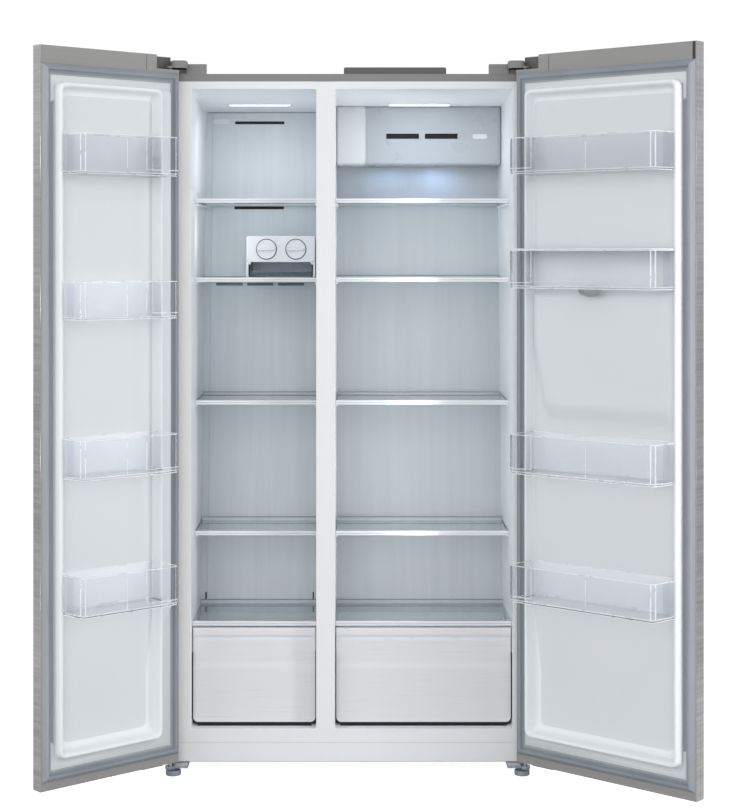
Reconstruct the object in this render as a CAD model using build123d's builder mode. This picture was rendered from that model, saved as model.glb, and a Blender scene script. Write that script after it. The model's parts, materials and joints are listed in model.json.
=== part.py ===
from build123d import *
from math import atan2, cos, radians, sin
import os

# A side by side refrigerator, millimetres. X runs across the front with 0 at the cabinet's
# middle, Y runs into the cabinet with 0 on its front face, and Z is up with 0 on the floor.
# The cabinet stands still. Both doors are drawn shut and then swung open about their pins,
# which is how the refrigerator stands at rest.

# ---- cabinet ----
WIDTH = 910.0              # outside width of the cabinet
CABINET_TOP = 1746.0       # top of the steel wrapper
CABINET_DEPTH = 585.0      # front face to rear panel
SHEET = 1.5                # steel sheet
PLASTIC = 2.0              # liner wall
FLANGE = 19.0              # width of the wrapper's front flange
SHELL_BOTTOM = 44.0        # lower edge of the wrapper
SILL = 76.0                # lower edge of the liners' front flange
KICK_BOTTOM = 27.5         # lower edge of the kick plate
ROOM_TOP = 330.0           # top of the compressor room
ROOM_FRONT = 345.0         # front wall of the compressor room

# ---- compartments: left wall, right wall ----
FREEZER_X = (-391.5, -78.7)
FRIDGE_X = (-31.5, 412.9)
FLOOR = 110.0              # compartment floor
CEILING_FRONT = 1708.0     # ceiling height at the front
CEILING_BACK = 1688.0      # ceiling height at the back
BACK_TOP = 490.0           # depth of the leaning back wall at the ceiling
BACK_LOW = 300.0           # and where it meets the drawer cover
LEAN_FOOT = 378.0          # height at which the lean ends
DRAWER_BACK = 265.0        # depth behind the drawers, at the floor
EVAPORATOR_BACK = 545.0    # rear wall of the freezer liner, behind its cover

# ---- shelves and drawers ----
SHELF_TOPS = (1438.0, 1236.0, 922.0, 588.0)
SHELF_FRONT = 106.0        # shelves stand back to leave room for the door bins
TRIM_HEIGHT = 11.0
TRIM_DEPTH = 16.0
GLASS = 4.0
GLASS_DROP = 2.5           # glass lies this far below the top of its front trim
LEDGE = 6.0                # ledges moulded on the walls carry the shelves
COVER_TOP = 372.0          # glass cover above the drawers
DRAWER_FRONT = 32.0
DRAWER_TOP = 356.0
DRAWER_BOTTOM = 119.0
DRAWER_LIP = 21.0
GAP = 0.4                  # clearance between pieces that slide on each other

# ---- doors ----
FREEZER_DOOR = 397.0       # widths
FRIDGE_DOOR = 509.0
DOOR_TOP = 1786.0
DOOR_BOTTOM = 38.0
DOOR_THICKNESS = 46.0      # steel skin, outer face to inner face
DOOR_GAP = 12.0            # inner face to cabinet, filled by the gasket
DOOR_ROUND = 20.0          # rounding of the door's outer vertical edges
OPEN_ANGLE = 138.8
PIN_INSET = 14.0           # pin axis to the door's hinge side
PIN_DEPTH = 30.0           # pin axis in front of the cabinet
PIN_R = 5.0
PIN_PLAY = 0.05            # running clearance of the hinge pins
TOP_CAP = 44.0             # height of the door's plastic end caps
BOTTOM_CAP = 22.0
NOTCH_WIDTH = 66.0         # cut-out of the top cap that clears the hinge arm
NOTCH_DEPTH = 33.0
NOTCH_FLOOR = 1752.0
ARM_TOP = NOTCH_FLOOR + 10 # top of the upper hinge's arm, inside the notch
ARM_PLATE = 5.0
ARM_WIDTH = 40.0
ARM_BACK = 100.0
ARM_EYE_R = 10.5
TOP_PIN_REACH = 30.0       # how far the pins enter the door
LOWER_PIN_REACH = 17.0
PLATE_END = 58.0           # lower hinge plate, from the cabinet's side
PLATE_BACK = 80.0
STOP_S = (32.0, 92.0)      # stop tab under the door
STOP_HEIGHT = 9.0
SKIN = 1.2
SKIN_RETURN = 22.0         # width of the skin's folds onto the inner face
GASKET_EDGE = 4.0          # gasket's outer edge to the door's edge
GASKET_WIDTH = 26.0
RIM_HEIGHT = 36.0          # raised rim of the door liner
RIM_WALL = 8.0
RIM_Z = (100.0, 1700.0)
RIM_ENTRY = 113.0          # the part of the rim that enters the cabinet starts above its floor
FREEZER_RIM = (70.0, 366.0)    # rim's outer edges, measured from the hinge side
FRIDGE_RIM = (46.0, 479.0)

# ---- door bins: lower and upper edge ----
BIN_WALL = 2.5
BIN_REACH = 108.0          # front of a bin, measured from the door's inner face
FREEZER_BINS = ((1482.0, 1577.0), (1141.0, 1231.0), (770.0, 864.0), (452.0, 546.0))
FRIDGE_BINS = ((1488.0, 1577.0), (766.0, 862.0), (457.0, 546.0))
TANK_Z = (1213.0, 1309.0)
LID = 3.0
LID_BACK = 41.0            # the lid starts here, and a fixed roof closes the tank behind it
LID_PIN_R = 1.9            # hinge barrel along the lid's back edge
FILLER_N = 74.0            # filler cap on the lid
VALVE_S, VALVE_N = 255.0, 60.0     # valve cup under the tank
VALVE_R = (30.0, 13.0)
VALVE_DROP = (14.0, 18.0)

# ---- water dispenser in the fridge door ----
NICHE_S = (172.0, 338.0)
NICHE_Z = (935.0, 1180.0)
NICHE_DEPTH = 62.0
BULGE_Z = (912.0, 1206.0)
BULGE_DEPTH = 26.0

# ---- ice maker ----
ICE_X = (-262.0, -84.0)
ICE_Y = (150.0, 330.0)
ICE_Z = (1240.0, 1343.0)
ICE_SPLIT = 1276.0         # the trays are above this height, the ice bin below
KNOB_X = (-210.0, -134.0)
KNOB_Z = 1308.5
KNOB_R = 26.0

# ---- covers on the cabinet's top, and the light bars ----
HINGE_COVER_END = 103.0    # from the cabinet's side
HINGE_COVER_Y = (1.5, 112.0)
HINGE_COVER_HEIGHT = 25.0
ARM_COVER_END = 56.0       # nose over the hinge arm
ARM_COVER_HEIGHT = 27.0
CONTROL_X = (-10.0, 250.0)
CONTROL_Y = (70.0, 230.0)
CONTROL_HEIGHT = 24.0
LAMP_Y = 315.0
LAMP_SIZE = (172.0, 26.0, 4.0)

# ---- cooling system ----
SLOT_HEIGHT = 8.0
FREEZER_SLOTS = ((-312, -176, 1659), (-312, -176, 1423), (-360, -287, 1214), (-275, -204, 1214),
                 (-191, -120, 1214))
DUCT_LOW = 1536.0          # underside of the fridge's air box
DUCT_SPLIT = 49.0          # its slotted main part is right of this, its side part left
DUCT_MAIN = 349.0
DUCT_SIDE = 346.0
DUCT_SLOTS = ((103, 191), (207, 295))
DUCT_SLOT_Z = (1606.0, 1620.0)
COIL_Y = 495.0             # middle of the evaporator
COIL_FOOT = 520.0
COIL_WIDTH = 270.0
COIL_PITCH = 30.0
COIL_PASSES = 9
FIN_SIZE = (0.6, 56.0, 262.0)
FIN_COUNT = 21
FAN_Z = 1000.0
FAN_Y = 485.0              # front of the fan's hub
FAN_HUB = (17.0, 22.0)     # radius, length
BLADE = (38.0, 24.0)
MOTOR_Y = 510.0
MOTOR = (26.0, 32.0)       # radius, length

# ---- compressor room ----
PUMP_X, PUMP_Y = -220.0, 460.0
PUMP_R = 85.0
PUMP_Z = (60.0, 185.0)
PUMP_DOME = 45.0           # rounding of the compressor's crown
PLATE_Z = (52.0, 56.0)
CONDENSER_X, CONDENSER_Y = 200.0, 470.0
CONDENSER_FOOT = 62.0
CONDENSER_WIDTH = 360.0
CONDENSER_PITCH = 24.0
CONDENSER_PASSES = 10
LOUVRE_X = (-255, -85, 85, 255)
LOUVRE_Z = 120.0
LOUVRE_PITCH = 24.0
LOUVRE_ROWS = 7
INLET_X = (371.5, 418.5)
INLET_Z = (101.5, 128.5)
INLET_DEPTH = 22.0
INLET_PINS = ((385, 112), (395, 119), (405, 112))

# ---- feet and rollers ----
FOOT_X = 434.0
FOOT_Y = -15.0
FOOT_R = 19.0
FOOT_HEIGHT = 13.0
STUD_R = 5.0
BRACKET_Z = (20.0, 27.0)
ROLLER_R = 20.0
ROLLER_Y = 540.0
AXLE_R = 4.0
RAIL_X = 385.0
RAIL_FRONT, RAIL_REAR = 60.0, 575.0

os.makedirs("parts", exist_ok=True)


def write(solid, node):
    solid.label = node
    export_step(solid, f"parts/{node}.step")


def slab(x, y, z, mode=Mode.ADD):
    """A block between two corners, each span given as (low, high)."""
    with Locations(((x[0] + x[1]) / 2, (y[0] + y[1]) / 2, (z[0] + z[1]) / 2)):
        Box(x[1] - x[0], y[1] - y[0], z[1] - z[0], mode=mode)


def grow(span, by):
    return span[0] - by, span[1] + by


def pin_x(side):
    return side * (WIDTH / 2 - PIN_INSET)


def swing(solid, side):
    """Turns a piece that is drawn on a shut door to where the open door has it."""
    return solid.rotate(Axis((pin_x(side), -PIN_DEPTH, 0), (0, 0, 1)), side * OPEN_ANGLE)


def door_span(side, s0, s1):
    """World X of two places on a shut door, measured from its hinge side."""
    a, b = side * (WIDTH / 2 - s0), side * (WIDTH / 2 - s1)
    return min(a, b), max(a, b)


def door_depth(n0, n1):
    """World Y of two depths on a shut door, measured inwards from its inner face."""
    return n0 - DOOR_GAP, n1 - DOOR_GAP


def back_wall(z):
    """Depth of the leaning back wall at a height."""
    return BACK_LOW + (z - LEAN_FOOT) * (BACK_TOP - BACK_LOW) / (CEILING_BACK - LEAN_FOOT)


def ceiling(y):
    return CEILING_FRONT - (CEILING_FRONT - CEILING_BACK) * y / BACK_TOP


# ======== cabinet ========

def cabinet_shell():
    half = WIDTH / 2
    back = CABINET_DEPTH - SHEET
    with BuildPart() as shell:
        slab((-half, half), (0, back), (SHELL_BOTTOM, CABINET_TOP))
        slab((SHEET - half, half - SHEET), (SHEET, back - SHEET), (SHELL_BOTTOM - 1, CABINET_TOP - SHEET),
             Mode.SUBTRACT)
        inner = half - FLANGE
        slab((-inner, inner), (-1, SHEET + 1), (SHELL_BOTTOM - 1, CABINET_TOP - FLANGE), Mode.SUBTRACT)
        slab((-inner, inner), (back - 2 * SHEET, back + 1), (SHELL_BOTTOM - 1, CABINET_TOP - FLANGE),
             Mode.SUBTRACT)
        slab((-half - 1, half + 1), (-1, 15), (SHELL_BOTTOM - 1, SILL), Mode.SUBTRACT)
    write(shell.part, "cabinet_shell")


def rear_panel():
    half = WIDTH / 2
    with BuildPart() as panel:
        slab((-half, half), (CABINET_DEPTH - SHEET, CABINET_DEPTH), (ROOM_TOP, CABINET_TOP))
    write(panel.part, "rear_panel")


def liner_profile(back_points):
    """The compartment's outline in the Y, Z plane, from the front round the back to the floor."""
    Polygon((0, FLOOR), (0, CEILING_FRONT), *back_points, align=None)


def liner(node, x, flange_x, back_points):
    """A thin walled box, open at the front, with a front flange and shelf ledges."""
    with BuildPart() as box:
        with BuildSketch(Plane.YZ.offset(x[0] - PLASTIC)):
            liner_profile(back_points)
            offset(amount=PLASTIC, kind=Kind.INTERSECTION)
        extrude(amount=x[1] - x[0] + 2 * PLASTIC)
        slab(flange_x, (0, PLASTIC), (SILL, CABINET_TOP - FLANGE))
        slab((-WIDTH, WIDTH), (-10, 0), (0, CABINET_TOP), Mode.SUBTRACT)
        with BuildSketch(Plane.YZ.offset(x[0])):
            liner_profile(back_points)
        extrude(amount=x[1] - x[0], mode=Mode.SUBTRACT)
        for top in SHELF_TOPS:
            under = top - TRIM_HEIGHT - GAP
            for wall in ((x[0] - 1, x[0] + LEDGE), (x[1] - LEDGE, x[1] + 1)):
                slab(wall, (SHELF_FRONT + TRIM_DEPTH, back_wall(top) - 30), (under - LEDGE, under))
    write(box.part, node)


FREEZER_BACK = ((EVAPORATOR_BACK, ceiling(EVAPORATOR_BACK)), (EVAPORATOR_BACK, 440.0),
                (BACK_LOW + 6, LEAN_FOOT - 8), (DRAWER_BACK, FLOOR))
FRIDGE_BACK = ((BACK_TOP, CEILING_BACK), (BACK_LOW, LEAN_FOOT), (DRAWER_BACK, FLOOR))


def insulation_foam():
    """One foamed-in-place body between the wrapper, the liners and the compressor room."""
    half = WIDTH / 2 - SHEET
    with BuildPart() as foam:
        slab((-half, half), (PLASTIC, CABINET_DEPTH - 2 * SHEET), (SILL, CABINET_TOP - SHEET))
        slab((-half - 1, half + 1), (ROOM_FRONT, CABINET_DEPTH), (0, ROOM_TOP), Mode.SUBTRACT)
        for x, back_points in ((FREEZER_X, FREEZER_BACK), (FRIDGE_X, FRIDGE_BACK)):
            with BuildSketch(Plane.YZ.offset(x[0] - PLASTIC)):
                liner_profile(back_points)
                offset(amount=PLASTIC, kind=Kind.INTERSECTION)
            extrude(amount=x[1] - x[0] + 2 * PLASTIC, mode=Mode.SUBTRACT)
    write(foam.part, "insulation_foam")


def mullion_front():
    with BuildPart() as bar:
        slab((FREEZER_X[1] + PLASTIC, FRIDGE_X[0] - PLASTIC), (0, PLASTIC), (SILL, CABINET_TOP - FLANGE))
    write(bar.part, "mullion_front")


def kick_plate():
    half = WIDTH / 2
    with BuildPart() as plate:
        slab((-half, half), (0, 24), (KICK_BOTTOM, SILL))
        slab((-half - 1, half + 1), (2.5, 25), (KICK_BOTTOM + 2.5, SILL + 1), Mode.SUBTRACT)
        slab((-half - 1, half + 1), (14, 25), (0, SILL), Mode.SUBTRACT)
    write(plate.part, "kick_plate")


def base_frame():
    """Floor pan, front beam and two rails that carry the roller axle."""
    half = WIDTH / 2 - SHEET
    with BuildPart() as frame:
        slab((-half, half), (16, CABINET_DEPTH - 2 * SHEET), (SHELL_BOTTOM, SHELL_BOTTOM + 2))
        slab((-half, half), (16, 18), (KICK_BOTTOM + 3, SILL))
        slab((-half, half), (ROOM_FRONT - 2, ROOM_FRONT), (SHELL_BOTTOM, SILL))
        for side in (-1, 1):
            slab(door_span(side, WIDTH / 2 - RAIL_X, WIDTH / 2 - RAIL_X - 3), (RAIL_FRONT, RAIL_REAR),
                 (14, SHELL_BOTTOM))
        with BuildSketch(Plane.YZ.offset(-half)):
            with Locations((ROLLER_Y, ROLLER_R)):
                Circle(AXLE_R + PIN_PLAY)
        extrude(amount=2 * half, mode=Mode.SUBTRACT)
    write(frame.part, "base_frame")


def top_hinges():
    """Steel plates on the cabinet's top, stepped up to arms that hold the door pins."""
    with BuildPart() as hinges:
        for side in (-1, 1):
            arm_x = door_span(side, PIN_INSET + 2, PIN_INSET + ARM_WIDTH)
            slab(arm_x, (8, ARM_BACK), (CABINET_TOP, CABINET_TOP + 4))
            slab(arm_x, (8, 12), (CABINET_TOP, ARM_TOP))
            slab(arm_x, (-PIN_DEPTH - 6, 12), (ARM_TOP - ARM_PLATE, ARM_TOP))
            with BuildSketch(Plane.XY.offset(ARM_TOP - ARM_PLATE)):
                with Locations((pin_x(side), -PIN_DEPTH)):
                    Circle(ARM_EYE_R)
            extrude(amount=ARM_PLATE)
            with BuildSketch(Plane.XY.offset(NOTCH_FLOOR - TOP_PIN_REACH)):
                with Locations((pin_x(side), -PIN_DEPTH)):
                    Circle(PIN_R)
            extrude(amount=TOP_PIN_REACH + ARM_PLATE + 1)
    write(hinges.part, "top_hinges")


def bottom_hinges():
    """Zinc plates under the cabinet that hold the lower door pins and the feet."""
    with BuildPart() as hinges:
        for side in (-1, 1):
            slab(door_span(side, PIN_INSET + 2, PLATE_END), (-PIN_DEPTH, PLATE_BACK), BRACKET_Z)
            slab(door_span(side, PIN_INSET + 2, PLATE_END), (20, PLATE_BACK), (BRACKET_Z[1], KICK_BOTTOM + 3))
            slab(door_span(side, 3, PLATE_END), (8, PLATE_BACK), BRACKET_Z)
            with BuildSketch(Plane.XY.offset(BRACKET_Z[0])):
                with Locations((pin_x(side), -PIN_DEPTH)):
                    Circle(12)
                with Locations((side * FOOT_X, FOOT_Y)):
                    Circle(12)
            extrude(amount=BRACKET_Z[1] - BRACKET_Z[0])
            with BuildSketch(Plane.XY.offset(BRACKET_Z[0] + 1)):
                with Locations((pin_x(side), -PIN_DEPTH)):
                    Circle(PIN_R)
            extrude(amount=DOOR_BOTTOM + LOWER_PIN_REACH - BRACKET_Z[0])
            with Locations((side * FOOT_X, FOOT_Y, BRACKET_Z[0])):
                Cylinder(STUD_R + PIN_PLAY, 40, mode=Mode.SUBTRACT)
    write(hinges.part, "bottom_hinges")


def top_covers():
    """Plastic covers on the top: one over each hinge and one over the control board."""
    with BuildPart() as covers:
        for side in (-1, 1):
            body = door_span(side, PIN_INSET + 1, HINGE_COVER_END)
            slab(body, HINGE_COVER_Y, (CABINET_TOP, CABINET_TOP + HINGE_COVER_HEIGHT))
            fillet(covers.part.edges().filter_by(Axis.Z).group_by(Axis.Y)[-1], 6)
            arm_x = door_span(side, PIN_INSET + 1, ARM_COVER_END)
            slab(arm_x, (-PIN_DEPTH - 8, 2), (ARM_TOP, CABINET_TOP + ARM_COVER_HEIGHT))
            with BuildSketch(Plane.XY.offset(ARM_TOP)):
                with Locations((pin_x(side), -PIN_DEPTH)):
                    Circle(ARM_EYE_R + 0.5)
            extrude(amount=CABINET_TOP + ARM_COVER_HEIGHT - ARM_TOP)
            slab(door_span(side, PIN_INSET + 1, ARM_COVER_END + 2), (-1, ARM_BACK + 4), (CABINET_TOP, ARM_TOP),
                 Mode.SUBTRACT)
        slab(CONTROL_X, CONTROL_Y, (CABINET_TOP, CABINET_TOP + CONTROL_HEIGHT))
        slab(grow(CONTROL_X, -PLASTIC), grow(CONTROL_Y, -PLASTIC),
             (CABINET_TOP - 1, CABINET_TOP + CONTROL_HEIGHT - PLASTIC), Mode.SUBTRACT)
    write(covers.part, "top_covers")


def ceiling_plane(x, y):
    slope = atan2(CEILING_FRONT - CEILING_BACK, BACK_TOP)
    return Plane(origin=(x, y, ceiling(y)), x_dir=(1, 0, 0), z_dir=(0, -sin(slope), -cos(slope)))


def lamp_bars():
    """A thin light bar under each ceiling."""
    with BuildPart() as lamps:
        for x in (FREEZER_X, FRIDGE_X):
            with BuildSketch(ceiling_plane((x[0] + x[1]) / 2, LAMP_Y)):
                RectangleRounded(LAMP_SIZE[0], LAMP_SIZE[1], 6)
            extrude(amount=LAMP_SIZE[2])
    write(lamps.part, "lamp_bars")


# ======== cooling system ========

def evaporator_cover():
    """The freezer's leaning back panel, with its air slots."""
    x = (FREEZER_X[0] + GAP, FREEZER_X[1] - GAP)
    top = CEILING_BACK - 1
    foot = LEAN_FOOT - 4
    with BuildPart() as cover:
        with BuildSketch(Plane.YZ.offset(x[0])):
            Polygon((back_wall(foot), foot), (back_wall(top), top), (back_wall(top) + 3, top),
                    (back_wall(foot) + 3, foot), align=None)
        extrude(amount=x[1] - x[0])
        for low, high, z in FREEZER_SLOTS:
            slab((low, high), (back_wall(z) - 5, back_wall(z) + 9), (z - SLOT_HEIGHT / 2, z + SLOT_HEIGHT / 2),
                 Mode.SUBTRACT)
    write(cover.part, "evaporator_cover")


def serpentine(width, pitch, passes):
    """Corners of a flat tube path that runs to and fro."""
    corners = []
    for i in range(passes):
        ends = (-width / 2, width / 2) if i % 2 == 0 else (width / 2, -width / 2)
        corners += [(ends[0], i * pitch), (ends[1], i * pitch)]
    return corners


def evaporator_coil():
    """Finned tube coil behind the freezer's back panel."""
    middle = (FREEZER_X[0] + FREEZER_X[1]) / 2
    plane = Plane(origin=(middle, COIL_Y, COIL_FOOT), x_dir=(1, 0, 0), z_dir=(0, -1, 0))
    fin_pitch = 12
    with BuildPart() as coil:
        with BuildLine(plane) as path:
            FilletPolyline(*serpentine(COIL_WIDTH, COIL_PITCH, COIL_PASSES), radius=COIL_PITCH / 2 - 0.5)
        with BuildSketch(Plane(origin=path.line @ 0, z_dir=path.line % 0)):
            Circle(4)
        sweep(path=path.line)
        height = COIL_FOOT + COIL_PITCH * (COIL_PASSES - 1) / 2
        fins = [(middle + (i - FIN_COUNT // 2) * fin_pitch, COIL_Y, height) for i in range(FIN_COUNT)]
        with Locations(*fins):
            Box(*FIN_SIZE)
    write(coil.part, "evaporator_coil")


def fan_motor():
    """Evaporator fan motor on its cross bracket."""
    middle = (FREEZER_X[0] + FREEZER_X[1]) / 2
    with BuildPart() as motor:
        with BuildSketch(Plane.XZ.offset(-MOTOR_Y)):
            with Locations((middle, FAN_Z)):
                Circle(MOTOR[0])
        extrude(amount=-MOTOR[1])
        slab((middle - 75, middle + 75), (MOTOR_Y + MOTOR[1] - 4, EVAPORATOR_BACK), (FAN_Z - 8, FAN_Z + 8))
    write(motor.part, "evaporator_fan_motor")


def fan():
    """Five blade fan in front of its motor."""
    middle = (FREEZER_X[0] + FREEZER_X[1]) / 2
    with BuildPart() as blades:
        with BuildSketch(Plane.XZ.offset(-FAN_Y)):
            with Locations((middle, FAN_Z)):
                Circle(FAN_HUB[0])
        extrude(amount=-FAN_HUB[1])
        for i in range(5):
            turn, pitch = radians(72 * i), radians(28)
            normal = (-sin(turn) * sin(pitch), -cos(pitch), cos(turn) * sin(pitch))
            hub = (middle, FAN_Y + FAN_HUB[1] / 2, FAN_Z)
            with BuildSketch(Plane(origin=hub, x_dir=(cos(turn), 0, sin(turn)), z_dir=normal)):
                with Locations((FAN_HUB[0] + BLADE[0] / 2 - 5, 0)):
                    RectangleRounded(*BLADE, 8)
            extrude(amount=1, both=True)
    write(blades.part, "evaporator_fan")


def compressor():
    """Hermetic shell on a foot plate, with its two tube stubs."""
    with BuildPart() as pump:
        side, crown = PUMP_X + PUMP_R, PUMP_Z[1] - PUMP_DOME
        with BuildSketch(Plane.XZ.offset(-PUMP_Y)):
            with BuildLine():
                Polyline((PUMP_X, PUMP_Z[0]), (side - 5, PUMP_Z[0]), (side, crown))
                CenterArc((side - PUMP_DOME, crown), PUMP_DOME, 0, 90)
                Line((side - PUMP_DOME, PUMP_Z[1]), (PUMP_X, PUMP_Z[1]))
                Line((PUMP_X, PUMP_Z[1]), (PUMP_X, PUMP_Z[0]))
            make_face()
        revolve(axis=Axis((PUMP_X, PUMP_Y, 0), (0, 0, 1)))
        slab(grow((PUMP_X, PUMP_X), 100), grow((PUMP_Y, PUMP_Y), 65), PLATE_Z)
        with BuildSketch(Plane.XY.offset(SHELL_BOTTOM + 2)):
            with Locations(*[(PUMP_X + i * 80, PUMP_Y + j * 50) for i in (-1, 1) for j in (-1, 1)]):
                Circle(11)
        extrude(amount=18)
        with BuildSketch(Plane.XY.offset(PLATE_Z[1])):
            with Locations((PUMP_X, PUMP_Y)):
                Circle(60)
        extrude(amount=PUMP_Z[0] + 2 - PLATE_Z[1])
        with BuildSketch(Plane.XY.offset(crown + 10)):
            with Locations((PUMP_X + 30, PUMP_Y - 25), (PUMP_X - 25, PUMP_Y - 30)):
                Circle(4)
        extrude(amount=60)
    write(pump.part, "compressor")


def condenser_coil():
    """Tube coil standing in the compressor room."""
    plane = Plane(origin=(CONDENSER_X, CONDENSER_Y, CONDENSER_FOOT), x_dir=(1, 0, 0), z_dir=(0, -1, 0))
    with BuildPart() as coil:
        with BuildLine(plane) as path:
            FilletPolyline(*serpentine(CONDENSER_WIDTH, CONDENSER_PITCH, CONDENSER_PASSES),
                           radius=CONDENSER_PITCH / 2 - 0.5)
        with BuildSketch(Plane(origin=path.line @ 0, z_dir=path.line % 0)):
            Circle(3)
        sweep(path=path.line)
        for i in range(7):
            x = CONDENSER_X + (i - 3) * 50
            slab((x - 1, x + 1), (CONDENSER_Y + 1.5, CONDENSER_Y + 4.5), (CONDENSER_FOOT - 8, 286))
        slab((CONDENSER_X - 170, CONDENSER_X + 170), (CONDENSER_Y - 8, CONDENSER_Y + 12),
             (SHELL_BOTTOM + 2, CONDENSER_FOOT - 8))
    write(coil.part, "condenser_coil")


def machine_room_cover():
    """Louvred steel cover over the compressor room."""
    half = WIDTH / 2
    with BuildPart() as cover:
        slab((-half, half), (CABINET_DEPTH - SHEET, CABINET_DEPTH), (SHELL_BOTTOM, ROOM_TOP))
        for column in LOUVRE_X:
            for row in range(LOUVRE_ROWS):
                z = LOUVRE_Z + row * LOUVRE_PITCH
                slab((column - 60, column + 60), (CABINET_DEPTH - 5, CABINET_DEPTH + 5), (z, z + 7),
                     Mode.SUBTRACT)
        slab(grow(INLET_X, 0.5), (CABINET_DEPTH - 5, CABINET_DEPTH + 5), grow(INLET_Z, 0.5), Mode.SUBTRACT)
    write(cover.part, "machine_room_cover")


def power_inlet():
    """Three pin appliance inlet set in the compressor room's cover."""
    with BuildPart() as inlet:
        slab(INLET_X, (CABINET_DEPTH - INLET_DEPTH, CABINET_DEPTH), INLET_Z)
        slab(grow(INLET_X, -3), (CABINET_DEPTH - INLET_DEPTH + 4, CABINET_DEPTH + 1), grow(INLET_Z, -3),
             Mode.SUBTRACT)
        for x, z in INLET_PINS:
            slab((x - 1, x + 1), (CABINET_DEPTH - INLET_DEPTH + 3, CABINET_DEPTH - 4), (z - 2, z + 2))
    write(inlet.part, "power_inlet")


def fridge_duct_box():
    """Air box under the fridge's ceiling: a slotted main part and a side part that stands a little proud."""
    right = FRIDGE_X[1] - GAP
    left = FRIDGE_X[0] + GAP
    with BuildPart() as box:
        for x, front in (((DUCT_SPLIT, right), DUCT_MAIN), ((left, DUCT_SPLIT), DUCT_SIDE)):
            for inset, mode in ((0.0, Mode.ADD), (2.5, Mode.SUBTRACT)):
                near, floor = front + inset, DUCT_LOW + inset
                with BuildSketch(Plane.YZ.offset(x[0] + inset)):
                    Polygon((near, floor), (near, ceiling(near) - GAP - inset),
                            (BACK_TOP - 1, CEILING_BACK - GAP - inset),
                            (back_wall(floor) - GAP, floor), align=None)
                extrude(amount=x[1] - x[0] - 2 * inset, mode=mode)
        for x in DUCT_SLOTS:
            slab(x, (DUCT_MAIN - 6, DUCT_MAIN + 6), DUCT_SLOT_Z, Mode.SUBTRACT)
    write(box.part, "fridge_duct_box")


# ======== shelves, drawers and ice maker ========

def shelf(node, x, top):
    """Glass pane with a trim along its front and its back."""
    side = (x[0] + GAP + 0.6, x[1] - GAP - 0.6)
    back = back_wall(top) - 8
    with BuildPart() as pane:
        slab(side, (SHELF_FRONT, SHELF_FRONT + TRIM_DEPTH), (top - TRIM_HEIGHT, top))
        slab(side, (back - 10, back), (top - TRIM_HEIGHT, top))
        slab(side, (SHELF_FRONT + 6, back - 4), (top - GLASS_DROP - GLASS, top - GLASS_DROP))
        slab((side[0], side[0] + 9), (SHELF_FRONT + 6, back - 4), (top - TRIM_HEIGHT, top - GLASS_DROP))
        slab((side[1] - 9, side[1]), (SHELF_FRONT + 6, back - 4), (top - TRIM_HEIGHT, top - GLASS_DROP))
    write(pane.part, node)


def drawer_covers():
    """Fixed glass covers above the drawers, on trims that stand on the walls."""
    with BuildPart() as covers:
        for x in (FREEZER_X, FRIDGE_X):
            side = (x[0], x[1])
            back = back_wall(COVER_TOP) - 2
            slab(side, (DRAWER_FRONT, DRAWER_FRONT + TRIM_DEPTH), (COVER_TOP - TRIM_HEIGHT, COVER_TOP))
            slab(side, (back - 10, back), (COVER_TOP - TRIM_HEIGHT, COVER_TOP))
            slab(side, (DRAWER_FRONT + 6, back - 4), (COVER_TOP - GLASS_DROP - GLASS, COVER_TOP - GLASS_DROP))
    write(covers.part, "drawer_covers")


def drawer(node, x):
    """Deep drawer with a handle lip along the top of its front."""
    front = (x[0] + 2, x[1] - 2)
    body = (x[0] + 7, x[1] - 7)
    back = 252.0
    wall = 2.5
    with BuildPart() as tub:
        slab(body, (DRAWER_FRONT + 2, back), (DRAWER_BOTTOM, DRAWER_TOP - 8))
        fillet(tub.part.edges().filter_by(Axis.X).group_by(Axis.Z)[0], 14)
        slab(grow(body, -wall), (DRAWER_FRONT + 4, back - wall), (DRAWER_BOTTOM + wall, DRAWER_TOP),
             Mode.SUBTRACT)
        with BuildSketch(Plane.XZ.offset(-DRAWER_FRONT)):
            middle = ((front[0] + front[1]) / 2, (DRAWER_BOTTOM + DRAWER_TOP - DRAWER_LIP) / 2)
            with Locations(middle):
                panel = Rectangle(front[1] - front[0], DRAWER_TOP - DRAWER_LIP - DRAWER_BOTTOM)
            fillet(panel.vertices().group_by(Axis.Z)[0], 13)
        extrude(amount=-6)
        slab(front, (DRAWER_FRONT + 1, DRAWER_FRONT + 8), (DRAWER_TOP - DRAWER_LIP - 2, DRAWER_TOP))
        slab(front, (DRAWER_FRONT, DRAWER_FRONT + 18), (DRAWER_TOP - 3, DRAWER_TOP))
    write(tub.part, node)


def ice_maker_housing():
    """Open bottomed hood with two round holes for the tray knobs; the cheeks guide the ice bin."""
    wall = 3.0
    with BuildPart() as hood:
        slab(ICE_X, ICE_Y, ICE_Z)
        slab(grow(ICE_X, -wall), (ICE_Y[0] - 1, ICE_Y[1] - wall), (ICE_Z[0] - 1, ICE_SPLIT), Mode.SUBTRACT)
        slab(grow(ICE_X, -wall), (ICE_Y[0] + wall, ICE_Y[1] - wall), (ICE_SPLIT - 1, ICE_Z[1] - wall),
             Mode.SUBTRACT)
        with BuildSketch(Plane.XZ.offset(1 - ICE_Y[0])):
            with Locations(*[(x, KNOB_Z) for x in KNOB_X]):
                Circle(KNOB_R + GAP)
        extrude(amount=-wall - 2, mode=Mode.SUBTRACT)
        fillet(hood.part.edges().filter_by(Axis.Y).group_by(Axis.Z)[-1], 6)
    write(hood.part, "ice_maker_housing")


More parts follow.
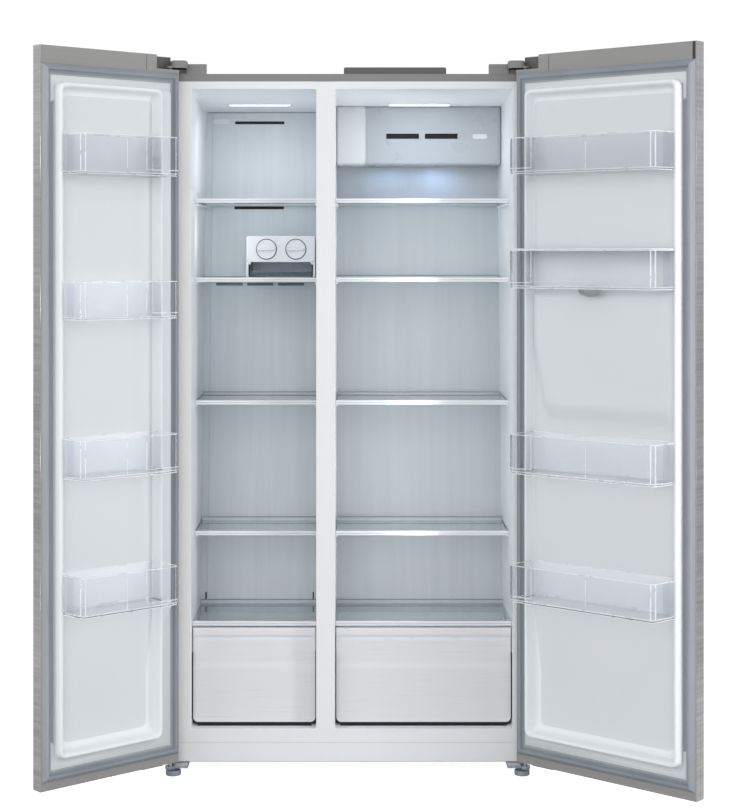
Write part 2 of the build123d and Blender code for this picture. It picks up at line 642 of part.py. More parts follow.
def ice_tray(node, x):
    """Twist knob and the ice tray behind it, one moulding that turns about Y."""
    knob_front = ICE_Y[0] - 6
    with BuildPart() as tray:
        with BuildSketch(Plane.XZ.offset(-knob_front)):
            with Locations((x, KNOB_Z)):
                Circle(KNOB_R)
        extrude(amount=-10)
        slab((x - 21, x + 21), (knob_front - 9, knob_front + 1), (KNOB_Z - 3.5, KNOB_Z + 3.5))
        slab((x - 23, x + 23), (knob_front + 10, ICE_Y[1] - 8), (KNOB_Z - 12, KNOB_Z + 12))
        for row in range(5):
            y = knob_front + 13 + row * 33
            for column in (x - 21, x + 1):
                slab((column, column + 20), (y, y + 30), (KNOB_Z - 9, KNOB_Z + 13), Mode.SUBTRACT)
    write(tray.part, node)


def ice_bin():
    x = grow(ICE_X, -4.0)
    y = (ICE_Y[0] - 2, ICE_Y[1] - 8)
    low = SHELF_TOPS[1] + 0.6
    with BuildPart() as tub:
        slab(x, y, (low, ICE_SPLIT - 2))
        slab(grow(x, -2.5), grow(y, -2.5), (low + 2.5, ICE_SPLIT), Mode.SUBTRACT)
        fillet(tub.part.edges().filter_by(Axis.X).group_by(Axis.Z)[0].group_by(Axis.Y)[0], 8)
    write(tub.part, "ice_bin")


# ======== doors ========

def skin_outline(side, width, inset=0.0):
    """A shut door's steel outline seen from above, rounded at its outer edges."""
    x = door_span(side, inset, width - inset)
    y = (-DOOR_GAP - DOOR_THICKNESS + inset, -DOOR_GAP)
    with Locations(((x[0] + x[1]) / 2, (y[0] + y[1]) / 2)):
        outline = Rectangle(x[1] - x[0], y[1] - y[0])
    fillet(outline.vertices().group_by(Axis.Y)[0], DOOR_ROUND - inset)


def door_skin(name, side, width):
    """Steel wrap: front, two sides and their return flanges."""
    with BuildPart() as skin:
        with BuildSketch(Plane.XY.offset(DOOR_BOTTOM)):
            skin_outline(side, width)
        extrude(amount=DOOR_TOP - DOOR_BOTTOM)
        with BuildSketch(Plane.XY.offset(DOOR_BOTTOM - 1)):
            skin_outline(side, width, SKIN)
        extrude(amount=DOOR_TOP - DOOR_BOTTOM + 2, mode=Mode.SUBTRACT)
        for s in ((SKIN, SKIN_RETURN), (width - SKIN_RETURN, width - SKIN)):
            slab(door_span(side, *s), door_depth(-SKIN, 0),
                 (DOOR_BOTTOM + BOTTOM_CAP, DOOR_TOP - TOP_CAP))
        slab(door_span(side, -1, NOTCH_WIDTH), door_depth(-NOTCH_DEPTH, 1), (NOTCH_FLOOR, DOOR_TOP + 1),
             Mode.SUBTRACT)
        if side > 0:
            slab(door_span(side, *NICHE_S), door_depth(-DOOR_THICKNESS - 1, -DOOR_THICKNESS + 5), NICHE_Z,
                 Mode.SUBTRACT)
    write(swing(skin.part, side), f"{name}_skin")


def door_caps(name, side, width):
    """Plastic end caps; the top one is notched for the hinge arm, the bottom one has the stop."""
    with BuildPart() as caps:
        for low, high in ((DOOR_BOTTOM, DOOR_BOTTOM + BOTTOM_CAP), (DOOR_TOP - TOP_CAP, DOOR_TOP)):
            with BuildSketch(Plane.XY.offset(low)):
                skin_outline(side, width, SKIN)
            extrude(amount=high - low)
        slab(door_span(side, -1, NOTCH_WIDTH), door_depth(-NOTCH_DEPTH, 1), (NOTCH_FLOOR, DOOR_TOP + 1),
             Mode.SUBTRACT)
        with BuildSketch(Plane.XY.offset(NOTCH_FLOOR - TOP_PIN_REACH - 4)):
            with Locations((pin_x(side), -PIN_DEPTH)):
                Circle(PIN_R + 5)
        extrude(amount=TOP_PIN_REACH)
        with Locations((pin_x(side), -PIN_DEPTH, DOOR_BOTTOM)):
            Cylinder(PIN_R + PIN_PLAY, 40, mode=Mode.SUBTRACT)
        with Locations((pin_x(side), -PIN_DEPTH, NOTCH_FLOOR)):
            Cylinder(PIN_R + PIN_PLAY, 2 * (TOP_PIN_REACH + 1), mode=Mode.SUBTRACT)
        slab(door_span(side, *STOP_S), door_depth(-33, -23), (DOOR_BOTTOM - STOP_HEIGHT, DOOR_BOTTOM))
        hollow = ((NOTCH_WIDTH + 12, width - 12), (-DOOR_THICKNESS + 6, -6))
        slab(door_span(side, *hollow[0]), door_depth(*hollow[1]), (DOOR_TOP - TOP_CAP - 1, DOOR_TOP - 4),
             Mode.SUBTRACT)
        slab(door_span(side, *hollow[0]), door_depth(*hollow[1]),
             (DOOR_BOTTOM + 4, DOOR_BOTTOM + BOTTOM_CAP + 1),
             Mode.SUBTRACT)
    write(swing(caps.part, side), f"{name}_end_caps")


def door_foam(name, side, width):
    """Foam core inside the steel skin."""
    with BuildPart() as foam:
        with BuildSketch(Plane.XY.offset(DOOR_BOTTOM + BOTTOM_CAP)):
            skin_outline(side, width, SKIN)
        extrude(amount=DOOR_TOP - TOP_CAP - DOOR_BOTTOM - BOTTOM_CAP)
        slab(door_span(side, 0, width), door_depth(-SKIN, 1), (0, DOOR_TOP), Mode.SUBTRACT)
        with BuildSketch(Plane.XY.offset(NOTCH_FLOOR - TOP_PIN_REACH - 5)):
            with Locations((pin_x(side), -PIN_DEPTH)):
                Circle(PIN_R + 5.3)
        extrude(amount=40, mode=Mode.SUBTRACT)
        if side > 0:
            slab(door_span(side, *grow(NICHE_S, 3)), door_depth(-DOOR_THICKNESS, 1), grow(NICHE_Z, 3),
                 Mode.SUBTRACT)
    write(swing(foam.part, side), f"{name}_foam")


def door_gasket(name, side, width):
    """Magnetic gasket: a flat base all round and a narrower bulb that meets the cabinet."""
    z = (DOOR_BOTTOM + BOTTOM_CAP, DOOR_TOP - TOP_CAP)
    with BuildPart() as gasket:
        for inset, band, depth in ((0.0, GASKET_WIDTH, (0, 6)), (10.0, 12.0, (6, DOOR_GAP - 0.6))):
            s = (GASKET_EDGE + inset, width - GASKET_EDGE - inset)
            slab(door_span(side, *s), door_depth(*depth), grow(z, -inset))
            slab(door_span(side, *grow(s, -band)), door_depth(depth[0], depth[1] + 1), grow(z, -inset - band),
                 Mode.SUBTRACT)
    write(swing(gasket.part, side), f"{name}_gasket")


def door_liner(name, side, width, rim):
    """Moulded inner panel: flat field, raised rim round the bins, dispenser bulge on the fridge."""
    edge = GASKET_EDGE + GASKET_WIDTH
    z = (DOOR_BOTTOM + BOTTOM_CAP + GASKET_WIDTH, DOOR_TOP - TOP_CAP - GASKET_WIDTH)
    with BuildPart() as panel:
        slab(door_span(side, edge, width - edge), door_depth(-SKIN, PLASTIC), z)
        slab(door_span(side, *rim), door_depth(2, RIM_HEIGHT), RIM_Z)
        slab(door_span(side, *grow(rim, -RIM_WALL)), door_depth(2, RIM_HEIGHT + 1), grow(RIM_Z, -RIM_WALL),
             Mode.SUBTRACT)
        fillet(panel.part.edges().filter_by(Axis.Y).group_by(SortBy.LENGTH)[-1], 5)
        slab(door_span(side, 0, width), door_depth(DOOR_GAP - 1, RIM_HEIGHT + 1), (0, RIM_ENTRY), Mode.SUBTRACT)
        if side > 0:
            inner = grow(rim, -RIM_WALL)
            slab(door_span(side, *grow(inner, 1)), door_depth(2, BULGE_DEPTH), BULGE_Z)
            slab(door_span(side, *grow(NICHE_S, 6)), door_depth(-2, BULGE_DEPTH - 2), grow(NICHE_Z, 6),
                 Mode.SUBTRACT)
    write(swing(panel.part, side), f"{name}_liner")


def bin_plan(side, back_s, front_s, inset=0.0):
    """A door bin seen from above: narrow at the door, rounded at its front corners."""
    near, far = 5.0 + inset, BIN_REACH - inset
    shoulder = RIM_HEIGHT + 4
    corners = [(back_s[0] + inset, near), (back_s[0] + inset, shoulder), (front_s[0] + inset, shoulder + 6),
               (front_s[0] + inset, far), (front_s[1] - inset, far), (back_s[1] - inset, shoulder),
               (back_s[1] - inset, near)]
    points = [(side * (WIDTH / 2 - s), n - DOOR_GAP) for s, n in corners]
    outline = Polygon(*points, align=None)
    fillet(outline.vertices().group_by(Axis.Y)[-1], 12 - inset)


def door_bin(node, side, back_s, front_s, z):
    with BuildPart() as tub:
        with BuildSketch(Plane.XY.offset(z[0])):
            bin_plan(side, back_s, front_s)
        extrude(amount=z[1] - z[0])
        with BuildSketch(Plane.XY.offset(z[0] + BIN_WALL)):
            bin_plan(side, back_s, front_s, BIN_WALL)
        extrude(amount=z[1] - z[0], mode=Mode.SUBTRACT)
    write(swing(tub.part, side), node)


FREEZER_BIN_BACK, FREEZER_BIN_FRONT = (81.0, 355.0), (76.0, 350.0)
FRIDGE_BIN_BACK, FRIDGE_BIN_FRONT = (57.0, 469.0), (54.0, 460.0)


def water_tank():
    """Tank on the fridge door; its valve cup hangs below and feeds the dispenser."""
    side = 1
    with BuildPart() as tank:
        with BuildSketch(Plane.XY.offset(TANK_Z[0])):
            bin_plan(side, FRIDGE_BIN_BACK, FRIDGE_BIN_FRONT)
        extrude(amount=TANK_Z[1] - LID - GAP - TANK_Z[0])
        with BuildSketch(Plane.XY.offset(TANK_Z[0] + BIN_WALL)):
            bin_plan(side, FRIDGE_BIN_BACK, FRIDGE_BIN_FRONT, BIN_WALL)
        extrude(amount=TANK_Z[1], mode=Mode.SUBTRACT)
        slab(door_span(side, *FRIDGE_BIN_BACK), door_depth(5, LID_BACK - 1),
             (TANK_Z[1] - LID - GAP - 1, TANK_Z[1]))
        for radius, drop in zip(VALVE_R, VALVE_DROP):
            with BuildSketch(Plane.XY.offset(TANK_Z[0] - drop)):
                with Locations((WIDTH / 2 - VALVE_S, VALVE_N - DOOR_GAP)):
                    Circle(radius)
            extrude(amount=drop + 0.5 if radius == VALVE_R[0] else drop - VALVE_DROP[0] + 2)
    write(swing(tank.part, side), "water_tank")


def tank_lid():
    side = 1
    with BuildPart() as lid:
        with BuildSketch(Plane.XY.offset(TANK_Z[1] - LID)):
            bin_plan(side, FRIDGE_BIN_BACK, FRIDGE_BIN_FRONT)
        extrude(amount=LID)
        slab(door_span(side, 0, FRIDGE_DOOR), door_depth(0, LID_BACK + LID_PIN_R - 0.5),
             (TANK_Z[0], TANK_Z[1] + 1), Mode.SUBTRACT)
        with BuildSketch(Plane.XY.offset(TANK_Z[1])):
            with Locations((WIDTH / 2 - VALVE_S, FILLER_N - DOOR_GAP)):
                SlotOverall(60, 18)
        extrude(amount=2.5)
        barrel = door_span(side, *grow(FRIDGE_BIN_BACK, -20))
        with BuildSketch(Plane.YZ.offset(barrel[0])):
            with Locations((LID_BACK + LID_PIN_R - DOOR_GAP, TANK_Z[1] - LID / 2)):
                Circle(LID_PIN_R)
        extrude(amount=barrel[1] - barrel[0])
    write(swing(lid.part, side), "tank_lid")


def dispenser_niche():
    """Recess in the outside of the fridge door, with a spout above and a drip ledge below."""
    side = 1
    wall = 2.5
    outer = -DOOR_THICKNESS
    middle = (NICHE_S[0] + NICHE_S[1]) / 2
    with BuildPart() as niche:
        slab(door_span(side, *NICHE_S), door_depth(outer, outer + NICHE_DEPTH), NICHE_Z)
        slab(door_span(side, *grow(NICHE_S, -wall)), door_depth(outer - 1, outer + NICHE_DEPTH - wall),
             grow(NICHE_Z, -wall), Mode.SUBTRACT)
        slab(door_span(side, *NICHE_S), door_depth(outer + 4, outer + NICHE_DEPTH - wall),
             (NICHE_Z[1] - 52, NICHE_Z[1] - wall))
        slab(door_span(side, *NICHE_S), door_depth(outer + 4, outer + NICHE_DEPTH - wall),
             (NICHE_Z[0] + wall, NICHE_Z[0] + 16))
        with BuildSketch(Plane.XY.offset(NICHE_Z[1] - 70)):
            with Locations((side * (WIDTH / 2 - middle), outer + 30 - DOOR_GAP)):
                Circle(9)
                Circle(5, mode=Mode.SUBTRACT)
        extrude(amount=20)
        for i in range(9):
            s = NICHE_S[0] + 25 + i * 14
            slab(door_span(side, s, s + 5), door_depth(outer + 12, outer + NICHE_DEPTH - 14),
                 (NICHE_Z[0] + 8, NICHE_Z[0] + 17), Mode.SUBTRACT)
    write(swing(niche.part, side), "dispenser_niche")


def dispenser_paddle():
    """Lever at the back of the niche that a glass pushes."""
    side = 1
    middle = (NICHE_S[0] + NICHE_S[1]) / 2
    depth = -DOOR_THICKNESS + NICHE_DEPTH - 22
    with BuildPart() as paddle:
        slab(door_span(side, middle - 22, middle + 22), door_depth(depth, depth + 3),
             (NICHE_Z[0] + 60, NICHE_Z[1] - 54))
        fillet(paddle.part.edges().filter_by(Axis.Y).group_by(Axis.Z)[0], 14)
        pivot = door_span(side, middle - 30, middle + 30)
        with BuildSketch(Plane.YZ.offset(pivot[0])):
            with Locations((depth + 1.5 - DOOR_GAP, NICHE_Z[1] - 57)):
                Circle(2.2)
        extrude(amount=pivot[1] - pivot[0])
    write(swing(paddle.part, side), "dispenser_paddle")


# ======== feet and rollers ========

def foot(node, side):
    """Levelling foot that screws up into the lower hinge plate."""
    with BuildPart() as screw:
        with BuildSketch(Plane.XY):
            with Locations((side * FOOT_X, FOOT_Y)):
                Circle(FOOT_R)
        extrude(amount=FOOT_HEIGHT)
        notches = [(side * FOOT_X + (FOOT_R + 0.6) * cos(radians(a)), FOOT_Y + (FOOT_R + 0.6) * sin(radians(a)))
                   for a in range(0, 360, 15)]
        with BuildSketch(Plane.XY.offset(3)):
            with Locations(*notches):
                Circle(1.6)
        extrude(amount=FOOT_HEIGHT, mode=Mode.SUBTRACT)
        with BuildSketch(Plane.XY.offset(FOOT_HEIGHT)):
            with Locations((side * FOOT_X, FOOT_Y)):
                Circle(STUD_R)
        extrude(amount=34 - FOOT_HEIGHT)
    write(screw.part, node)


def rear_rollers():
    """Two rollers on one axle across the back."""
    with BuildPart() as rollers:
        with BuildSketch(Plane.YZ.offset(-RAIL_X - 6)):
            with Locations((ROLLER_Y, ROLLER_R)):
                Circle(AXLE_R)
        extrude(amount=2 * RAIL_X + 12)
        for start in (-RAIL_X + 4, RAIL_X - 24):
            with BuildSketch(Plane.YZ.offset(start)):
                with Locations((ROLLER_Y, ROLLER_R)):
                    Circle(ROLLER_R)
            extrude(amount=20)
    write(rollers.part, "rear_rollers")


def cabinet():
    cabinet_shell()
    rear_panel()
    liner("freezer_liner", FREEZER_X, (FLANGE - WIDTH / 2, FREEZER_X[1] + PLASTIC), FREEZER_BACK)
    liner("fridge_liner", FRIDGE_X, (FRIDGE_X[0] - PLASTIC, WIDTH / 2 - FLANGE), FRIDGE_BACK)
    insulation_foam()
    mullion_front()
    kick_plate()
    base_frame()
    top_hinges()
    bottom_hinges()
    top_covers()
    lamp_bars()


def cooling():
    evaporator_cover()
    evaporator_coil()
    fan_motor()
    fan()
    compressor()
    condenser_coil()
    machine_room_cover()
    power_inlet()
    fridge_duct_box()


def interior():
    for name, x in (("freezer", FREEZER_X), ("fridge", FRIDGE_X)):
        for i, top in enumerate(SHELF_TOPS):
            shelf(f"{name}_shelf_{i + 1}", x, top)
        drawer(f"{name}_drawer", x)
    drawer_covers()
    ice_maker_housing()
    ice_tray("ice_tray_left", KNOB_X[0])
    ice_tray("ice_tray_right", KNOB_X[1])
    ice_bin()


def doors():
    for name, side, width, rim in (("freezer_door", -1, FREEZER_DOOR, FREEZER_RIM),
                                   ("fridge_door", 1, FRIDGE_DOOR, FRIDGE_RIM)):
        door_skin(name, side, width)
        door_caps(name, side, width)
        door_foam(name, side, width)
        door_gasket(name, side, width)
        door_liner(name, side, width, rim)
    for i, z in enumerate(FREEZER_BINS):
        door_bin(f"freezer_bin_{i + 1}", -1, FREEZER_BIN_BACK, FREEZER_BIN_FRONT, z)
    for i, z in enumerate(FRIDGE_BINS):
        door_bin(f"fridge_bin_{i + 1}", 1, FRIDGE_BIN_BACK, FRIDGE_BIN_FRONT, z)
    water_tank()
    tank_lid()
    dispenser_niche()
    dispenser_paddle()


cabinet()
cooling()
interior()
doors()
foot("foot_left", -1)
foot("foot_right", 1)
rear_rollers()
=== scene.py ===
import bmesh
import bpy
import json
from math import atan2, cos, pi, radians, sin
from mathutils import Matrix, Vector

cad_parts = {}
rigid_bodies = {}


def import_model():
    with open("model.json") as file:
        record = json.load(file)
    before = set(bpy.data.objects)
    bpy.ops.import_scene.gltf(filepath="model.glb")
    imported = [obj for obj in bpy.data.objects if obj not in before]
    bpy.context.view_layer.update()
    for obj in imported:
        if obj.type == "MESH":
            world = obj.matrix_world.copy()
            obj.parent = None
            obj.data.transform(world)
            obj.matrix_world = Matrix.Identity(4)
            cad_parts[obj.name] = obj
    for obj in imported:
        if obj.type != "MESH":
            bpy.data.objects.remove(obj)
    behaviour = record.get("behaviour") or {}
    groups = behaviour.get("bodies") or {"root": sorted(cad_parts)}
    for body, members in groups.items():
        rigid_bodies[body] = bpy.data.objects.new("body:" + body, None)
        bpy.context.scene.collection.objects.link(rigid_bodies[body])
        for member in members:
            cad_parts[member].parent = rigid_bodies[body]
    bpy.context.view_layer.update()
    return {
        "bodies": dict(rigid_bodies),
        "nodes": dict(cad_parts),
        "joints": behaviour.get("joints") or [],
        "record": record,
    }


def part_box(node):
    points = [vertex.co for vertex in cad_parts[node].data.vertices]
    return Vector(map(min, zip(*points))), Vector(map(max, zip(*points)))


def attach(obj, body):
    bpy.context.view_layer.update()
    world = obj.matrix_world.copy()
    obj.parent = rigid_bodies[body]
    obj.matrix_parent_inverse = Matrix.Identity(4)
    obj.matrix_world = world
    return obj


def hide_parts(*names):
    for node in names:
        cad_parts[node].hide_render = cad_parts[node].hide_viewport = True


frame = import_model()
MM = 0.001
nodes, bodies = frame["nodes"], frame["bodies"]
body_of = {n: b for b, ns in frame["record"]["behaviour"]["bodies"].items() for n in ns}
joint_of = {j["name"]: j for j in frame["joints"]}


def box_mm(node):
    """A CAD node's lowest and highest corners at rest, in millimetres."""
    return [tuple(round(c / MM, 2) for c in corner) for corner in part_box(node)]


# ======== materials ========

class Nodes:
    """Short names for building one material's node tree."""

    def __init__(self, name):
        self.material = bpy.data.materials.new(name)
        self.material.use_nodes = True
        self.tree = self.material.node_tree
        self.shader = self.tree.nodes["Principled BSDF"]
        self.output = self.tree.nodes["Material Output"]
        self.place = self.add("ShaderNodeTexCoord").outputs["Object"]

    def constant(self, **values):
        for key, value in values.items():
            self.shader.inputs[key.replace("_", " ")].default_value = value

    def add(self, kind, **values):
        node = self.tree.nodes.new(kind)
        for key, value in values.items():
            setattr(node, key, value)
        return node

    def link(self, a, b):
        self.tree.links.new(a, b)

    def stretched(self, scale):
        mapping = self.add("ShaderNodeMapping")
        mapping.inputs["Scale"].default_value = scale
        self.link(self.place, mapping.inputs["Vector"])
        return mapping.outputs["Vector"]

    def noise(self, scale=(1, 1, 1), size=5.0, detail=3.0, roughness=0.5):
        node = self.add("ShaderNodeTexNoise")
        node.inputs["Scale"].default_value = size
        node.inputs["Detail"].default_value = detail
        node.inputs["Roughness"].default_value = roughness
        self.link(self.stretched(scale), node.inputs["Vector"])
        return node.outputs["Fac"]

    def ramp(self, source, low, high, start=0.3, end=0.7):
        node = self.add("ShaderNodeMapRange")
        for key, value in (("From Min", start), ("From Max", end), ("To Min", low), ("To Max", high)):
            node.inputs[key].default_value = value
        self.link(source, node.inputs["Value"])
        return node.outputs["Result"]

    def colours(self, source, low, high, start=0.3, end=0.7):
        node = self.add("ShaderNodeValToRGB")
        for stop, place, colour in zip(node.color_ramp.elements, (start, end), (low, high)):
            stop.position = place
            stop.color = (*colour, 1.0)
        self.link(source, node.inputs["Fac"])
        return node.outputs["Color"]

    def paint(self, source, colour, spread, start=0.3, end=0.7):
        """Base colour that varies by a share of itself."""
        tint = self.colours(source, shade(colour, 1 - spread), shade(colour, 1 + spread), start, end)
        self.link(tint, self.shader.inputs["Base Color"])

    def gloss(self, source, low, high):
        self.link(self.ramp(source, low, high), self.shader.inputs["Roughness"])

    def relief(self, source, distance):
        node = self.add("ShaderNodeBump")
        node.inputs["Distance"].default_value = distance
        node.inputs["Strength"].default_value = 1.0
        self.link(source, node.inputs["Height"])
        self.link(node.outputs["Normal"], self.shader.inputs["Normal"])


def shade(colour, factor):
    return tuple(min(1.0, c * factor) for c in colour)


def moulded(name, colour, rough=0.35, spread=0.03, texture=0.00003, size=260.0, coat=0.0):
    """Moulded or sprayed plastic: faint mottling, orange peel and uneven gloss."""
    n = Nodes(name)
    n.paint(n.noise(size=3.0, detail=4.0), colour, spread)
    n.gloss(n.noise(size=18.0), rough * 0.88, rough * 1.12)
    n.relief(n.noise(size=size, detail=2.0), texture)
    n.constant(Coat_Weight=coat)
    return n.material


def brushed(name, colour, grain=(3.0, 3.0, 900.0), rough=0.34, spread=0.10, depth=0.00002, metal=1.0):
    """Metal with fine parallel brush lines that run level, and a slow change of tone."""
    n = Nodes(name)
    fine = n.noise(scale=grain, size=1.0, detail=6.0, roughness=0.7)
    wide = n.noise(scale=(grain[0] * 0.4, grain[1] * 0.4, grain[2] * 0.06), size=1.0, detail=3.0)
    mix = n.add("ShaderNodeMath", operation="ADD")
    n.link(n.ramp(fine, 0.0, 0.7), mix.inputs[0])
    n.link(n.ramp(wide, 0.0, 0.3), mix.inputs[1])
    n.paint(mix.outputs[0], colour, spread, 0.0, 1.0)
    n.gloss(fine, rough * 0.8, rough * 1.25)
    n.relief(fine, depth)
    n.constant(Metallic=metal)
    return n.material


def sheet_metal(name, colour, rough=0.42, metal=0.0, spangle=40.0, spread=0.05):
    """Painted or galvanised sheet with a faint spangle."""
    n = Nodes(name)
    cells = n.add("ShaderNodeTexVoronoi")
    cells.inputs["Scale"].default_value = spangle
    n.link(n.place, cells.inputs["Vector"])
    n.paint(cells.outputs["Color"], colour, spread, 0.0, 1.0)
    n.gloss(n.noise(size=30.0), rough * 0.85, rough * 1.15)
    n.relief(n.noise(size=400.0), 0.00002)
    n.constant(Metallic=metal)
    return n.material


def rubber(name, colour):
    """Dull extruded rubber with faint lengthwise marks."""
    n = Nodes(name)
    n.paint(n.noise(scale=(1, 1, 0.2), size=9.0), colour, 0.06)
    n.gloss(n.noise(size=60.0), 0.5, 0.62)
    n.relief(n.noise(size=600.0, detail=2.0), 0.00003)
    n.constant(Specular_IOR_Level=0.35)
    return n.material


def clear(name, colour, rough=0.03, ior=1.46, shadow=0.9, ripple=0.00002, through=1.0):
    """Clear plastic or glass with a slight ripple; shadow is the share of the lamps' light it lets by."""
    n = Nodes(name)
    tint = n.colours(n.noise(size=2.0), shade(colour, 0.985), shade(colour, 1.0))
    n.link(tint, n.shader.inputs["Base Color"])
    n.gloss(n.noise(size=25.0), rough * 0.7, rough * 1.4)
    n.relief(n.noise(size=14.0, detail=1.0), ripple)
    n.constant(Transmission_Weight=through, IOR=ior)
    empty = n.add("ShaderNodeBsdfTransparent")
    empty.inputs["Color"].default_value = (*shade(colour, shadow), 1.0)
    rays = n.add("ShaderNodeLightPath")
    mix = n.add("ShaderNodeMixShader")
    n.link(rays.outputs["Is Shadow Ray"], mix.inputs["Fac"])
    n.link(n.shader.outputs["BSDF"], mix.inputs[1])
    n.link(empty.outputs["BSDF"], mix.inputs[2])
    n.link(mix.outputs["Shader"], n.output.inputs["Surface"])
    return n.material


def wall(name, colour, rough, streak, across=26.0):
    """Drawn liner plastic with faint upright streaks: painted sheen and shade that stand for the ribs of the
    back walls.
    """
    n = Nodes(name)
    n.paint(n.noise(scale=(across, across * 0.3, 0.25), size=1.0, detail=4.0), colour, streak)
    n.gloss(n.noise(size=12.0), rough * 0.85, rough * 1.2)
    n.relief(n.noise(size=90.0, detail=1.0), 0.000004)
    return n.material


def glowing(name, colour, strength):
    """Milky lens lit from behind."""
    n = Nodes(name)
    glow = n.colours(n.noise(size=30.0), shade(colour, 0.97), colour)
    n.link(glow, n.shader.inputs["Base Color"])
    n.link(glow, n.shader.inputs["Emission Color"])
    n.constant(Emission_Strength=strength)
    return n.material


SMOOTH = {"spread": 0.008, "texture": 0.000008}
STEEL = brushed("brushed_steel", (0.79, 0.765, 0.75), grain=(5.0, 5.0, 120.0), rough=0.36, spread=0.26)
CAP = brushed("end_cap_plastic", (0.315, 0.307, 0.30), grain=(5, 5, 240), rough=0.42, spread=0.05, metal=0.0)
CAP_DARK = moulded("end_cap_shadow_gap", (0.05, 0.05, 0.055), rough=0.6)
# dark plastic for the back of the hinge notch: painted shade
NOTCH_SHADE = moulded("stop_block_plastic", (0.13, 0.125, 0.12), rough=0.5)
WRAPPER = brushed("wrapper_paint", (0.228, 0.226, 0.224), grain=(5, 5, 300), rough=0.40,
                  spread=0.05, metal=0.0)
GASKET = rubber("gasket_rubber", (0.35, 0.38, 0.412))
# a darker copy of the gasket rubber for its hinge side and its ends: painted shade
GASKET_SHADED = rubber("gasket_shaded_side", (0.27, 0.295, 0.32))
GASKET_DEEP = rubber("gasket_channel", (0.37, 0.39, 0.415))
LINER = moulded("liner_plastic", (0.72, 0.744, 0.765), 0.42, **SMOOTH)
# a lighter copy of the liner plastic for the raised rim: painted light on its flanks and crest
RIM_LIT = moulded("liner_rim_plastic", (0.85, 0.875, 0.895), 0.42, **SMOOTH)
ROOM = wall("cabinet_liner", (0.87, 0.895, 0.92), rough=0.4, streak=0.004)
# darker copies of the liner plastic for the back walls and the freezer's back panel: painted shade deep in
# the compartments
BACK_SHADED = wall("back_panel", (0.665, 0.705, 0.746), rough=0.38, streak=0.03, across=60.0)
FRIDGE_BACK_SHADED = wall("fridge_back_wall", (0.505, 0.535, 0.565), rough=0.38, streak=0.035, across=45.0)
FLANGE = moulded("front_flange", (0.79, 0.797, 0.808), rough=0.4, spread=0.006, texture=0.000006)
DUCT = moulded("fittings_plastic", (0.79, 0.82, 0.86), 0.3, **SMOOTH)
# two copies of the air box's one plastic: a lighter one for the part beside it, painted light, and a darker
# one for the main part, painted shade
AIR_SIDE_LIT = moulded("air_box_side_plastic", (0.65, 0.675, 0.70), 0.3, **SMOOTH)
AIR_BOX_SHADED = moulded("air_box_plastic", (0.395, 0.425, 0.46), 0.3, **SMOOTH)
SLOT = moulded("slot_shadow", (0.03, 0.032, 0.036), rough=0.7)
GLASS = clear("shelf_glass", (0.89, 0.94, 0.945), rough=0.02, ior=1.45, ripple=0.000003)
# dark grey plastic of the shelf rails, also used as painted shade on the backs of the low slots in the
# freezer's back panel
RAIL_AND_SLOT_SHADE = moulded("shelf_rail", (0.21, 0.245, 0.27), rough=0.35)
GROOVE = moulded("shelf_groove", (0.50, 0.56, 0.62), rough=0.3)
TRIM = moulded("shelf_trim", (0.80, 0.82, 0.84), rough=0.2, coat=0.3, spread=0.01)
BIN = clear("bin_plastic", (0.973, 0.978, 0.987), rough=0.04, ior=1.12, shadow=0.9)
# a copy of the bin plastic for the top bins that lets less lamp light by: painted shade in and behind them
BIN_SHADED = clear("bin_plastic_tinted", (0.97, 0.975, 0.986), rough=0.04, ior=1.12, shadow=0.66)
TANK = clear("tank_plastic", (0.992, 0.995, 0.999), rough=0.04, ior=1.1, shadow=1.0)
BIN_DARK_FILM = clear("bin_tab_plastic", (0.93, 0.94, 0.975), rough=0.08, ior=1.08, shadow=0.7)
# bright half-clear lines along the bins' edges: painted highlights
BIN_HIGHLIGHT = clear("bin_edges", (0.95, 0.965, 0.99), rough=0.3, ior=1.2, through=0.4)
SMOKE = clear("smoky_plastic", (0.87, 0.885, 0.915), rough=0.08, ior=1.2, shadow=0.95)
DRAWER = brushed("drawer_front", (0.735, 0.74, 0.755), grain=(6, 6, 260), rough=0.3, spread=0.008,
                 depth=0.000003, metal=0.0)
LID = moulded("tank_lid", (0.80, 0.82, 0.84), rough=0.25, spread=0.01)
VALVE = moulded("valve_grey", (0.30, 0.31, 0.32), rough=0.35)
COVER = moulded("cover_plastic", (0.138, 0.137, 0.136), rough=0.5, texture=0.00004, size=500.0)
HINGE_COVER = moulded("hinge_cover_plastic", (0.245, 0.243, 0.24), rough=0.5, texture=0.00004, size=500.0)
HINGE = sheet_metal("hinge_steel", (0.22, 0.215, 0.21), rough=0.4)
ZINC = sheet_metal("zinc_plate", (0.62, 0.66, 0.70), rough=0.24, metal=1.0, spangle=160.0, spread=0.12)
FOOT = moulded("foot_plastic", (0.27, 0.30, 0.33), rough=0.35, texture=0.00008, size=700.0)
DARK = moulded("dark_plastic", (0.035, 0.035, 0.038), rough=0.5)
GALVANISED = sheet_metal("galvanised", (0.48, 0.50, 0.51), rough=0.4, metal=0.7, spangle=120.0, spread=0.12)
LAMP = glowing("light_bar", (0.95, 0.98, 1.0), 1.6)
FOAM = moulded("rigid_foam", (0.72, 0.60, 0.33), rough=0.9, texture=0.0006, size=300.0, spread=0.08)
ENAMEL = moulded("black_enamel", (0.02, 0.02, 0.022), rough=0.22, coat=0.4)
FINS = sheet_metal("aluminium_fins", (0.75, 0.76, 0.77), rough=0.3, metal=1.0)
NICHE = moulded("recess_gloss", (0.022, 0.023, 0.026), rough=0.16, coat=0.5)
PADDLE = moulded("paddle_plastic", (0.07, 0.07, 0.075), rough=0.35)
FAN = moulded("fan_plastic", (0.62, 0.63, 0.64), rough=0.4)

